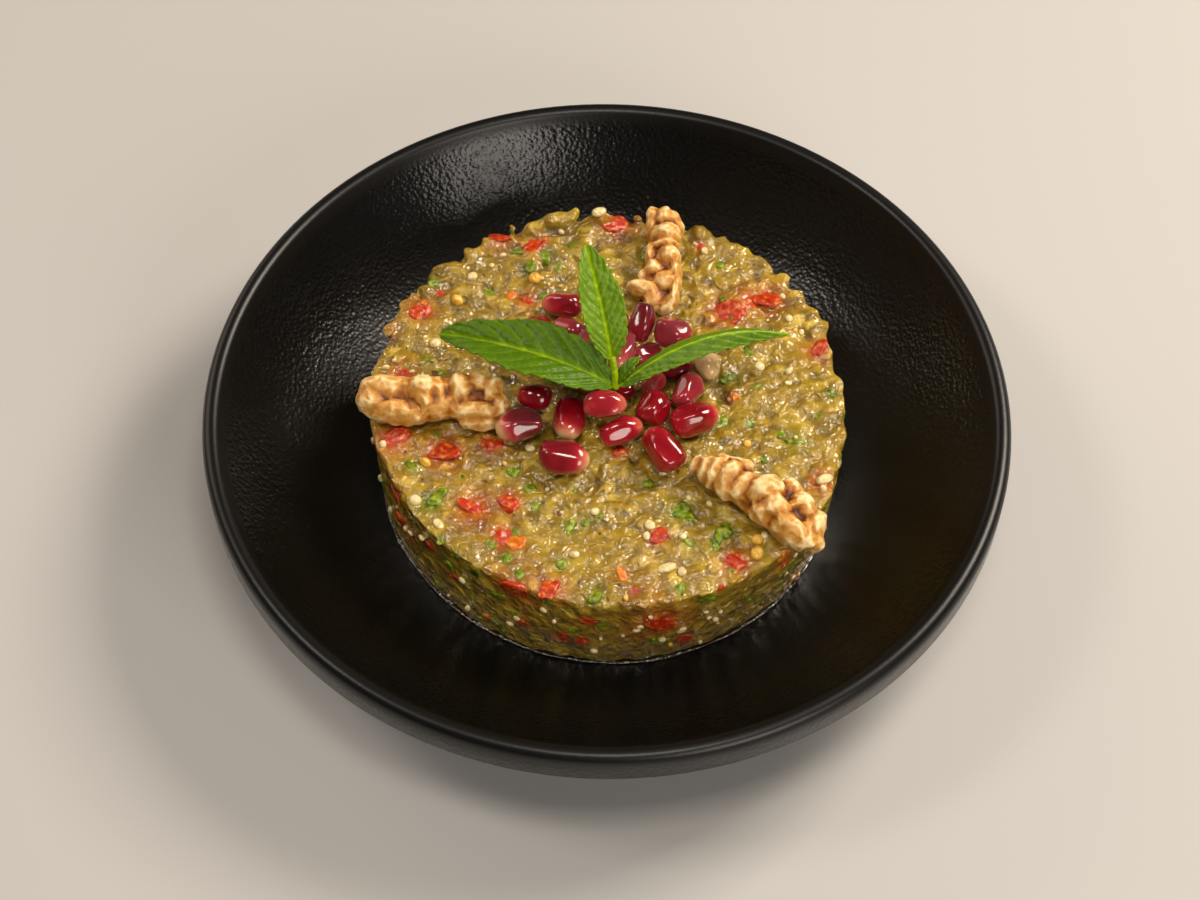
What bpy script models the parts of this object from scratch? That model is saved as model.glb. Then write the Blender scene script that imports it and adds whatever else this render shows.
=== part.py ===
"""Baba ganoush pressed in a ring mould and turned out into a low black bowl, with its garnish.

A puck of chopped aubergine stands on the floor of the bowl. Three broken walnut halves lie on it,
with a heap of pomegranate arils near its middle and a sprig of mint on the heap. The origin is at
the middle of the bowl's foot, +Z is up, and +X and +Y are level. Everything is in metres.
"""
import math

import bmesh
import bpy
from mathutils import Euler, Vector

MM = 0.001
GAP = 0.3 * MM                  # air between two pieces that touch

# The bowl, turned about +Z.
BOWL_RADIUS = 84 * MM
BOWL_HEIGHT = 33 * MM
BOWL_STEPS = 48
FLOOR_HEIGHT = 8 * MM           # top of the floor inside
FLOOR_RADIUS = 49.5 * MM        # where the wall starts to rise
WALL_THICKNESS = 4.5 * MM
WALL_CURVE = 1.8                # 1 is a straight cone, 2 a parabola
LIP_WIDTH = 3.8 * MM
LIP_ROUND = 2 * MM              # height of the lip's round top
LIP_SLOPE = 1.5 * MM            # the lip's inner edge lies this far under its crest
RIM_FACE = 1.6 * MM             # upright face outside, under the round of the lip
FOOT_RADIUS = 41 * MM
FOOT_WIDTH = 4 * MM
FOOT_HEIGHT = 3 * MM

# The moulded puck.
PUCK_STEPS = 48
PUCK_BASE_RADIUS = 48.3 * MM
PUCK_TOP_RADIUS = 49.7 * MM
PUCK_TOP = 32 * MM
PUCK_OFF_CENTRE = (0.8 * MM, 0.8 * MM)
PUCK_LOBES = ((2, 0.9 * MM, -104), (3, 0.7 * MM, 153), (5, 0.5 * MM, -137))  # waves round, size, peak
PUCK_SWELL = 0.3 * MM           # how far the top rises and falls
GARNISH_FLOOR = PUCK_TOP + PUCK_SWELL + GAP

# Walnut pieces: middle (x, y), heading and lobes. A lobe is its place along the piece, across it and
# above the puck, then half its length, width and height, all in millimetres.
WALNUT_VOXEL = 1.7 * MM
WALNUTS = {
    "walnut_left": ((-35.2, -3.9), -4, (
        (-11.0, 0.5, 4.8, 4.2, 3.0, 2.8), (-12.0, -1.5, 3.6, 3.2, 3.4, 3.0), (-6.5, 1.0, 4.6, 2.6, 2.4, 2.4),
        (-2.5, 1.2, 5.0, 3.0, 3.0, 3.0), (1.5, 2.0, 4.6, 2.6, 2.4, 2.4), (5.0, 2.6, 5.2, 2.8, 2.8, 2.8),
        (8.5, 3.2, 4.8, 2.6, 2.6, 2.6), (11.8, 2.6, 4.4, 2.4, 2.8, 2.6), (-8.5, -3.2, 2.8, 5.2, 2.6, 2.6),
        (-0.5, -1.6, 2.8, 5.0, 2.4, 2.6), (8.5, -2.0, 2.8, 5.2, 2.6, 2.6), (4.0, 0.8, 3.0, 6.0, 2.6, 2.6),
    )),
    "walnut_back": ((10.5, 33.8), -93, (
        (-10.8, -2.2, 4.6, 2.6, 2.2, 2.6), (-9.9, 0.4, 5.0, 2.8, 2.4, 3.0), (-10.0, 2.8, 3.8, 2.6, 2.0, 2.4),
        (-5.0, 0.8, 4.8, 3.0, 3.2, 3.2), (-1.0, 1.6, 4.8, 2.8, 2.8, 3.0), (3.2, 2.8, 4.6, 3.2, 2.4, 2.8),
        (-1.5, -2.0, 3.0, 3.6, 1.8, 2.4), (3.4, -1.6, 3.2, 3.4, 2.4, 2.6), (6.5, 1.6, 3.4, 3.6, 3.0, 2.8),
        (10.2, 2.8, 3.4, 3.4, 1.8, 2.6), (8.4, -3.6, 3.2, 2.0, 2.8, 2.4), (9.0, -0.6, 2.8, 2.6, 2.6, 2.2),
    )),
    "walnut_right": ((30.2, -27.5), -40, (
        (-14.0, -0.3, 2.8, 2.4, 2.2, 2.2), (-10.5, -0.2, 3.8, 3.0, 2.8, 3.0), (-7.2, 0.6, 4.4, 2.6, 3.2, 3.2),
        (-9.8, 3.8, 3.4, 3.4, 1.4, 1.8), (-6.2, 4.2, 3.2, 2.4, 2.0, 2.2), (-3.7, 0.8, 3.8, 2.8, 3.0, 3.0),
        (0.8, 1.8, 4.8, 3.2, 3.4, 3.4), (5.0, 0.6, 4.8, 3.2, 3.0, 3.2), (9.2, -0.8, 3.4, 5.0, 2.8, 3.0),
        (3.6, 6.4, 3.4, 2.2, 2.0, 2.2), (8.0, 4.8, 3.8, 3.0, 2.2, 2.6), (12.4, 2.8, 3.2, 2.6, 2.6, 2.6),
        (14.6, 0.2, 2.4, 1.8, 2.2, 2.0), (5.6, 3.2, 3.0, 3.2, 2.6, 2.4),
    )),
}

# Pomegranate arils: middle (x, y, z), heading and rise of the tip, length and width, in
# millimetres and degrees. The lower ones lie on the puck, the higher ones on the lower ones.
ARIL_STEPS = 8
ARIL_RINGS = 7
ARIL_FLATNESS = 0.88            # height over width
ARIL_TAPER = 0.26               # how much narrower the tip is than the butt
ARIL_BLUNTNESS = 0.75           # 1 is an ellipsoid, and less is blunter at both ends
ARIL_FULLNESS = 1.12            # brings the widest ring up to the stated width
ARILS = (
    (-10.0, 22.5, 36.0, 173, -6, 8.8, 5.8),
    (-8.5, 16.0, 36.0, 157, -6, 7.2, 5.4),
    (-15.0, 17.0, 35.5, 173, 0, 5.6, 5.0),
    (7.0, 15.0, 40.0, -97, -28, 8.4, 5.8),
    (0.5, 19.0, 36.0, 158, 0, 7.6, 5.4),
    (13.5, 12.5, 40.0, -14, 0, 8.0, 6.8),
    (3.0, 6.5, 41.0, -108, 5, 9.6, 5.8),
    (-3.5, 8.5, 40.0, -87, 5, 9.6, 5.6),
    (-3.5, 3.0, 35.5, -143, 0, 6.6, 5.6),
    (8.0, 10.0, 35.5, 31, -6, 7.4, 5.4),
    (14.5, 6.5, 35.8, 15, 0, 6.6, 5.6),
    (20.5, 7.5, 36.0, -65, 0, 7.6, 5.4),
    (9.5, 2.5, 35.5, 60, 0, 6.4, 5.0),
    (16.5, 0.5, 36.0, 63, 8, 8.6, 6.2),
    (9.5, -4.5, 37.0, 72, 15, 7.6, 7.0),
    (18.0, -7.0, 36.5, 25, 0, 10.4, 6.8),
    (11.5, -14.5, 36.5, 123, 0, 10.8, 7.6),
    (3.0, -10.0, 36.0, 23, 2, 9.4, 6.2),
    (-0.5, -7.5, 41.5, 6, 0, 9.0, 6.2),
    (-7.5, -7.5, 36.5, -97, 0, 10.2, 7.2),
    (-18.0, -9.5, 36.5, -163, 0, 9.8, 7.0),
    (-8.5, -17.0, 36.5, -13, 0, 10.6, 7.2),
    (-15.0, -1.5, 36.0, 175, 0, 7.4, 6.2),
    (-9.5, 8.0, 35.5, 120, 0, 7.4, 5.6),
    (3.0, 2.0, 35.5, 95, 0, 7.0, 5.6),
)

# The sprig of mint: its joint, its stem and its leaves, in millimetres and degrees.
LEAF_THICKNESS = 0.7 * MM
LEAF_LENGTH_CELLS = 10
LEAF_WIDTH_CELLS = 4
LEAF_END_WIDTH = 0.6 * MM       # half the width where a leaf leaves the stem, and at its tip
LEAF_TEETH = 5
STEM_RADIUS = 0.7 * MM
JOINT_RADIUS = 1.5 * MM
MINT_JOINT = (1.6, -2.8, 41.8)
MINT_STEM = ((1.6, -2.8, 41.2), (1.3, -1.4, 44.0), (0.8, 0.4, 46.8))
# Base, middle and tip of the rib, half width, fold of the halves (up is positive), roll.
LEAVES = {
    "leaf_left": ((1.0, -2.8, 42.0), (-15.0, 2.5, 45.5), (-35.5, 12.5, 38.5), 7.2, 12, 0),
    "leaf_middle": ((0.8, 0.3, 46.6), (-1.5, 9.0, 53.0), (-5.0, 20.0, 59.0), 4.8, 18, 0),
    "leaf_right": ((2.2, -3.0, 41.8), (19.0, 5.5, 47.0), (37.5, 12.0, 41.0), 3.8, -42, 0),
    "leaf_bud": ((2.0, -2.5, 42.4), (4.2, -0.6, 45.0), (6.5, 1.5, 46.0), 1.5, 15, -20),
}

BLACK_STONEWARE = ("black_stoneware", (0.006, 0.006, 0.007), 0.55)
AUBERGINE = ("aubergine_mash", (0.33, 0.24, 0.07), 0.35)
WALNUT = ("walnut_kernel", (0.62, 0.40, 0.16), 0.5)
POMEGRANATE = ("pomegranate", (0.35, 0.01, 0.03), 0.15)
MINT = ("mint_leaf", (0.10, 0.27, 0.02), 0.45)


def material(finish):
    """The Principled material of a finish, made once."""
    name, colour, roughness = finish
    made = bpy.data.materials.get(name)
    if made:
        return made
    made = bpy.data.materials.new(name)
    made.use_nodes = True
    shader = made.node_tree.nodes["Principled BSDF"]
    shader.inputs["Base Color"].default_value = (*colour, 1)
    shader.inputs["Roughness"].default_value = roughness
    shader.inputs["Metallic"].default_value = 0
    return made


def new_object(name, mesh, collection, finish=None):
    """An object in a collection, with smooth sides and sharp edges where it turns."""
    thing = bpy.data.objects.new(name, mesh)
    collection.objects.link(thing)
    mesh.shade_smooth()
    mesh.set_sharp_from_angle(angle=math.radians(50))
    if finish:
        mesh.materials.append(material(finish))
    return thing


def mesh_from(work, name):
    """A mesh from a bmesh, which is freed."""
    mesh = bpy.data.meshes.new(name)
    work.to_mesh(mesh)
    work.free()
    return mesh


def turned(name, profile, steps, collection, finish):
    """A profile of (radius, height) points turned about +Z with a Screw modifier."""
    mesh = bpy.data.meshes.new(name)
    points = [(radius, 0, height) for radius, height in profile]
    edges = [(i, i + 1) for i in range(len(points) - 1)]
    mesh.from_pydata(points, edges, [])
    thing = new_object(name, mesh, collection, finish)
    screw = thing.modifiers.new("turn", "SCREW")
    screw.steps = steps
    screw.render_steps = steps
    screw.use_merge_vertices = True
    screw.merge_threshold = 0.05 * MM
    screw.use_smooth_shade = True
    return thing


def wall_point(share, offset=0):
    """A point of the inside of the bowl's wall, or that far outside it. Share is 0 at the floor."""
    run = BOWL_RADIUS - LIP_WIDTH - FLOOR_RADIUS
    rise = BOWL_HEIGHT - LIP_SLOPE - FLOOR_HEIGHT
    slope = math.atan(rise / run * WALL_CURVE * share ** (WALL_CURVE - 1))
    radius = FLOOR_RADIUS + run * share + offset * math.sin(slope)
    return radius, FLOOR_HEIGHT + rise * share ** WALL_CURVE - offset * math.cos(slope)


def bowl_profile():
    """The bowl from the middle of its floor, over the lip, down its outer side and under its foot."""
    points = [(0, FLOOR_HEIGHT), (FLOOR_RADIUS, FLOOR_HEIGHT)]
    points += [wall_point(share) for share in (0.22, 0.42, 0.6, 0.76, 0.9)]
    lip_middle = BOWL_RADIUS - LIP_WIDTH / 2
    for degrees in (165, 125, 90, 50, 0):
        turn = math.radians(degrees)
        height = BOWL_HEIGHT - LIP_ROUND + LIP_ROUND * math.sin(turn)
        points.append((lip_middle + LIP_WIDTH / 2 * math.cos(turn), height))
    points.append((BOWL_RADIUS, BOWL_HEIGHT - LIP_ROUND - RIM_FACE))
    points += [wall_point(share, WALL_THICKNESS) for share in (0.9, 0.65, 0.4, 0.15)]
    under = FLOOR_HEIGHT - WALL_THICKNESS
    points += [(FOOT_RADIUS + 1 * MM, under), (FOOT_RADIUS, 0), (FOOT_RADIUS - FOOT_WIDTH, 0)]
    points += [(FOOT_RADIUS - FOOT_WIDTH - 0.5 * MM, FOOT_HEIGHT), (0, FOOT_HEIGHT)]
    return points


def make_bowl(collection):
    """The bowl, which stands on the flat ring of its foot."""
    return turned("bowl", bowl_profile(), BOWL_STEPS, collection, BLACK_STONEWARE)


def puck_profile():
    """The puck before it is made uneven: its top, its rounded edge, its side and its base."""
    base = FLOOR_HEIGHT + GAP
    edge = 1.2 * MM
    points = [(0, PUCK_TOP)]
    points += [(PUCK_TOP_RADIUS * share, PUCK_TOP) for share in (0.3, 0.55, 0.78, 0.93)]
    points += [(PUCK_TOP_RADIUS - edge * 0.3, PUCK_TOP - edge * 0.3), (PUCK_TOP_RADIUS, PUCK_TOP - edge)]
    for share in (0.75, 0.5, 0.25):
        radius = PUCK_BASE_RADIUS + (PUCK_TOP_RADIUS - PUCK_BASE_RADIUS) * share
        points.append((radius, base + (PUCK_TOP - base) * share))
    points += [(PUCK_BASE_RADIUS, base), (0, base)]
    return points


def uneven(point):
    """Where a point of the even puck goes: lobes round the side, which fade downwards, and a swell."""
    radius = math.hypot(point.x, point.y)
    angle = math.atan2(point.y, point.x)
    lift = (point.z - FLOOR_HEIGHT) / (PUCK_TOP - FLOOR_HEIGHT)
    lobes = sum(size * math.cos(waves * (angle - math.radians(peak) / waves))
                for waves, size, peak in PUCK_LOBES)
    stretch = 1 + lobes * (0.3 + 0.7 * lift) / PUCK_TOP_RADIUS
    swell = math.sin(point.x / (9 * MM) + 1) * math.cos(point.y / (11 * MM))
    x = point.x * stretch + PUCK_OFF_CENTRE[0] * (0.5 + 0.5 * lift)
    y = point.y * stretch + PUCK_OFF_CENTRE[1] * lift
    on_top = point.z > PUCK_TOP - 0.1 * MM
    return Vector((x, y, point.z + (PUCK_SWELL * swell if on_top and radius > 0 else 0)))


def make_puck(collection):
    """The aubergine mash as the mould left it, a little out of round and not quite level."""
    puck = turned("baba_ganoush", puck_profile(), PUCK_STEPS, collection, AUBERGINE)
    graph = bpy.context.evaluated_depsgraph_get()
    mesh = bpy.data.meshes.new_from_object(puck.evaluated_get(graph))
    mesh.name = "baba_ganoush"
    for vertex in mesh.vertices:
        vertex.co = uneven(vertex.co)
    puck.modifiers.clear()
    puck.data = mesh
    return puck


def make_walnut(name, middle, heading, lobes, collection):
    """A broken walnut half: its lobes, run together by a voxel remesh."""
    work = bmesh.new()
    for along, across, height, half_length, half_width, half_height in lobes:
        lobe = bmesh.ops.create_uvsphere(work, u_segments=12, v_segments=8, radius=1)
        bmesh.ops.scale(work, verts=lobe["verts"], vec=(half_length, half_width, half_height))
        bmesh.ops.translate(work, verts=lobe["verts"], vec=(along, across, height))
    bmesh.ops.scale(work, verts=work.verts, vec=(MM, MM, MM))
    piece = new_object(name, mesh_from(work, name), collection, WALNUT)
    piece.location = (middle[0] * MM, middle[1] * MM, GARNISH_FLOOR)
    piece.rotation_euler = Euler((0, 0, math.radians(heading)))
    remesh = piece.modifiers.new("run together", "REMESH")
    remesh.mode = "VOXEL"
    remesh.voxel_size = WALNUT_VOXEL
    return piece


def make_aril(name, spec, collection):
    """A pomegranate aril: a round butt and a narrower tip along +X, turned to its heading."""
    x, y, z, heading, rise, length, width = spec
    work = bmesh.new()
    bmesh.ops.create_uvsphere(work, u_segments=ARIL_STEPS, v_segments=ARIL_RINGS, radius=1)
    for vertex in work.verts:
        along = vertex.co.z
        round_off = max(1 - along ** 2, 1e-6) ** ((ARIL_BLUNTNESS - 1) / 2)
        slim = ARIL_FULLNESS * (1 - ARIL_TAPER * (along + 1) / 2) * round_off
        across = vertex.co.y * slim * width / 2
        height = -vertex.co.x * slim * width / 2 * ARIL_FLATNESS
        vertex.co = Vector((along * length / 2, across, height)) * MM
    aril = new_object(name, mesh_from(work, name), collection, POMEGRANATE)
    aril.location = Vector((x, y, z)) * MM
    aril.rotation_euler = Euler((0, math.radians(-rise), math.radians(heading)))
    return aril


def leaf_half_width(share, widest):
    """Half the width of a leaf at a share of its length, with the teeth of its edge."""
    body = math.sin(math.pi * share ** 0.85) ** 0.8
    tooth = 1 - 0.1 * (share * LEAF_TEETH % 1)
    return LEAF_END_WIDTH + max(widest - LEAF_END_WIDTH, 0) * body * tooth


def make_leaf(name, spec, collection):
    """A leaf on a curved rib: a grid laid along the rib, folded along it and given a thickness."""
    base, middle, tip, half_width, fold, roll = spec
    base, middle, tip = (Vector(point) * MM for point in (base, middle, tip))
    bend = 2 * middle - (base + tip) / 2
    tilt = math.radians(fold)
    work = bmesh.new()
    bmesh.ops.create_grid(work, x_segments=LEAF_LENGTH_CELLS, y_segments=LEAF_WIDTH_CELLS, size=0.5)
    for vertex in work.verts:
        share = vertex.co.x + 0.5
        side = vertex.co.y * 2
        rib = base * (1 - share) ** 2 + bend * 2 * share * (1 - share) + tip * share ** 2
        ahead = ((bend - base) * (1 - share) + (tip - bend) * share).normalized()
        across = Vector((0, 0, 1)).cross(ahead).normalized()
        across.rotate(Euler((math.radians(roll), 0, 0)))
        up = ahead.cross(across)
        reach = side * leaf_half_width(share, half_width * MM)
        vertex.co = rib + across * reach * math.cos(tilt) + up * abs(reach) * math.sin(tilt)
    leaf = new_object(name, mesh_from(work, name), collection)
    solid = leaf.modifiers.new("thickness", "SOLIDIFY")
    solid.thickness = LEAF_THICKNESS
    solid.offset = 0
    leaf.hide_render = True
    leaf.display_type = "WIRE"
    return leaf


def make_stem(collection):
    """The stem as a round tube, turned into a mesh with its caps welded on."""
    curve = bpy.data.curves.new("stem", "CURVE")
    curve.dimensions = "3D"
    curve.bevel_depth = STEM_RADIUS
    curve.bevel_resolution = 1
    curve.use_fill_caps = True
    spline = curve.splines.new("POLY")
    spline.points.add(len(MINT_STEM) - 1)
    for point, place in zip(spline.points, MINT_STEM):
        point.co = (*(Vector(place) * MM), 1)
    guide = bpy.data.objects.new("stem_guide", curve)
    collection.objects.link(guide)
    graph = bpy.context.evaluated_depsgraph_get()
    mesh = bpy.data.meshes.new_from_object(guide.evaluated_get(graph))
    bpy.data.objects.remove(guide)
    work = bmesh.new()
    work.from_mesh(mesh)
    bmesh.ops.remove_doubles(work, verts=work.verts, dist=0.01 * MM)
    bmesh.ops.recalc_face_normals(work, faces=work.faces)
    stem = new_object("stem", mesh_from(work, "stem"), collection)
    stem.hide_render = True
    stem.display_type = "WIRE"
    return stem


def make_mint(collection, cutters):
    """The sprig: the joint at its foot, with the stem and the leaves joined to it."""
    work = bmesh.new()
    bmesh.ops.create_icosphere(work, subdivisions=2, radius=JOINT_RADIUS)
    bmesh.ops.translate(work, verts=work.verts, vec=Vector(MINT_JOINT) * MM)
    sprig = new_object("mint_sprig", mesh_from(work, "mint_sprig"), collection, MINT)
    grown = [make_stem(cutters)]
    grown += [make_leaf(name, spec, cutters) for name, spec in LEAVES.items()]
    for piece in grown:
        union = sprig.modifiers.new(piece.name, "BOOLEAN")
        union.operation = "UNION"
        union.solver = "EXACT"
        union.object = piece
    return sprig


def main():
    """Clear the scene and make every piece."""
    for thing in list(bpy.data.objects):
        bpy.data.objects.remove(thing)
    dish = bpy.data.collections.new("baba_ganoush_in_bowl")
    cutters = bpy.data.collections.new("cutters")
    for collection in (dish, cutters):
        bpy.context.scene.collection.children.link(collection)
    make_bowl(dish)
    make_puck(dish)
    for name, (middle, heading, lobes) in WALNUTS.items():
        make_walnut(name, middle, heading, lobes, dish)
    for number, spec in enumerate(ARILS, start=1):
        make_aril(f"pomegranate_{number:02}", spec, dish)
    make_mint(dish, cutters)


main()
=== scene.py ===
"""Baba ganoush turned out of a ring mould into a low black bowl: the looks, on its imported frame.

The bowl is turned stoneware. The puck is chopped roast aubergine, run together from its lumps, with
bits of pepper, herb and seed set into it. On it lie broken walnut halves, pomegranate arils and a
sprig of mint. Everything is in metres, in the frame's own axes.
"""
import logging
import math
from collections.abc import Sequence
from dataclasses import dataclass, field
from enum import Enum

import bmesh
import bpy
import numpy as np
from mathutils import Matrix, Vector
from mathutils.bvhtree import BVHTree
from mathutils.kdtree import KDTree


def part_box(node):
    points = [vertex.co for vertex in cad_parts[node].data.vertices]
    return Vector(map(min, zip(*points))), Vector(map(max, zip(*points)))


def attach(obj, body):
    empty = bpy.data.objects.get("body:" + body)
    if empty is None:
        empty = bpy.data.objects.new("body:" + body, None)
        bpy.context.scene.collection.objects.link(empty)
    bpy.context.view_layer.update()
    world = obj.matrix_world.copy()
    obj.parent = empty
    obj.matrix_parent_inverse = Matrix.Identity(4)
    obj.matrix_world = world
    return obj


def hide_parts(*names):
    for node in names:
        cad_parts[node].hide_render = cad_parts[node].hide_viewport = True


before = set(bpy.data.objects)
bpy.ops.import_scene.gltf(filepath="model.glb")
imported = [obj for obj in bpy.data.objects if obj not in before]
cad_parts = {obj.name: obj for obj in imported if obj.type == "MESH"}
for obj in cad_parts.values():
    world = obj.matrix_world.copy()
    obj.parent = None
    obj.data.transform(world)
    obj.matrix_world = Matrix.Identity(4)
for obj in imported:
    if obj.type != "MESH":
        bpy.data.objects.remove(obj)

MM = 0.001
UP = Vector((0, 0, 1))
LOG = logging.getLogger("baba_ganoush")
Array = np.ndarray

# The relief of oiled mash: soft swells, and a film that wrinkles more finely over them.
SWELL_SIZE = 2.4 * MM
SWELL_DEPTH = 1.25 * MM
WRINKLE_SIZE = 1.2 * MM
WRINKLE_DEPTH = 0.55 * MM


class Slot(Enum):
    """Names for the material slots."""

    STONEWARE = "black_stoneware"
    MASH = "aubergine_mash"
    WALNUT = "walnut_kernel"
    ARIL = "pomegranate"
    MINT = "mint_leaf"


# Colours and node trees


def linear(code: str) -> tuple[float, float, float, float]:
    """Turn an sRGB hex colour into a linear one.

    Args:
        code: six hex digits, such as "a8873c".

    Returns:
        Red, green, blue and an alpha of 1.
    """
    parts = [int(code[i:i + 2], 16) / 255 for i in (0, 2, 4)]
    red, green, blue = (c / 12.92 if c <= 0.04045 else ((c + 0.055) / 1.055) ** 2.4 for c in parts)
    return red, green, blue, 1.0


def add_node(
        tree: bpy.types.NodeTree, kind: str, settings: dict, links: dict | None = None) -> bpy.types.Node:
    """Add a node with its settings and its links.

    Args:
        tree: the material's node tree.
        kind: the node's type name.
        settings: inputs by name or number, properties by their own names, and a ramp's "stops".
        links: the sockets that feed its inputs, by input name or number.

    Returns:
        The new node.
    """
    node = tree.nodes.new(kind)
    for key, value in settings.items():
        if key == "stops":
            while len(node.color_ramp.elements) < len(value):
                node.color_ramp.elements.new(0.5)
            for element, (place, code) in zip(node.color_ramp.elements, value):
                element.position = place
                element.color = linear(code)
        elif isinstance(key, str) and hasattr(node, key):
            setattr(node, key, value)
        else:
            node.inputs[key].default_value = value
    for key, socket in (links or {}).items():
        tree.links.new(socket, node.inputs[key])
    return node


def new_material(name: str) -> tuple[bpy.types.Material, bpy.types.NodeTree]:
    """Make a material with an empty tree.

    Args:
        name: the material's name.

    Returns:
        The material and its node tree.
    """
    material = bpy.data.materials.new(name)
    material.use_nodes = True
    material.node_tree.nodes.clear()
    return material, material.node_tree


def finish_material(tree: bpy.types.NodeTree, shader: bpy.types.Node) -> None:
    """Join a shader to the material's output.

    Args:
        tree: the material's node tree.
        shader: the last shader.
    """
    add_node(tree, "ShaderNodeOutputMaterial", {}, {"Surface": shader.outputs[0]})


def mottled(
        tree: bpy.types.NodeTree, place: bpy.types.Node, attribute: str, stops: tuple, grain: dict,
        spread: float, drop: float) -> tuple[bpy.types.Node, bpy.types.Node]:
    """Colour a surface along one of its attributes, moved up and down by a noise.

    Args:
        tree: the material's node tree.
        place: the texture coordinate node.
        attribute: the mesh's attribute, from 0 to 1.
        stops: the colours along it.
        grain: the noise's settings.
        spread: how far the noise moves the attribute.
        drop: what is taken off again, so that the middle stays.

    Returns:
        The colour ramp and the noise.
    """
    value = add_node(tree, "ShaderNodeAttribute", {"attribute_name": attribute})
    noise = add_node(tree, "ShaderNodeTexNoise", grain, {"Vector": place.outputs["Object"]})
    shift = add_node(
        tree, "ShaderNodeMath", {"operation": "MULTIPLY_ADD", 1: spread, 2: -drop}, {0: noise.outputs[0]})
    shade = add_node(
        tree, "ShaderNodeMath", {"operation": "ADD"}, {0: value.outputs["Fac"], 1: shift.outputs[0]})
    return add_node(tree, "ShaderNodeValToRGB", {"stops": stops}, {0: shade.outputs[0]}), noise


def laid_over(
        tree: bpy.types.NodeTree, under: bpy.types.NodeSocket, code: str,
        attribute: str) -> bpy.types.NodeSocket:
    """Lay a colour over another, as much of it as an attribute says.

    Args:
        tree: the material's node tree.
        under: the colour underneath.
        code: the hex colour on top.
        attribute: the mesh's attribute, which is 0 where none of it shows.

    Returns:
        The mixed colour.
    """
    share = add_node(tree, "ShaderNodeAttribute", {"attribute_name": attribute})
    mix = add_node(
        tree, "ShaderNodeMix", {"data_type": "RGBA", 7: linear(code)}, {0: share.outputs["Fac"], 6: under})
    return mix.outputs[2]


def wet_relief(
        tree: bpy.types.NodeTree, place: bpy.types.Node, share: float = 1.0) -> tuple[bpy.types.Node, ...]:
    """Make the relief of oiled mash.

    Args:
        tree: the material's node tree.
        place: the texture coordinate node.
        share: how deep the relief is, as a share of the mash's own.

    Returns:
        The bump for the flesh and the bump for the film.
    """
    swells = add_node(
        tree, "ShaderNodeTexNoise", {"Scale": 1 / SWELL_SIZE, "Detail": 1.0, "Distortion": 0.6},
        {"Vector": place.outputs["Object"]})
    soft = add_node(
        tree, "ShaderNodeBump", {"Strength": 1.0, "Distance": SWELL_DEPTH * share},
        {"Height": swells.outputs[0]})
    wrinkles = add_node(
        tree, "ShaderNodeTexNoise", {"Scale": 1 / WRINKLE_SIZE, "Detail": 0.3, "Distortion": 1.0},
        {"Vector": place.outputs["Object"]})
    film = add_node(
        tree, "ShaderNodeBump", {"Strength": 1.0, "Distance": WRINKLE_DEPTH * share},
        {"Height": wrinkles.outputs[0], "Normal": soft.outputs[0]})
    return soft, film


# Finishes


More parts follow.
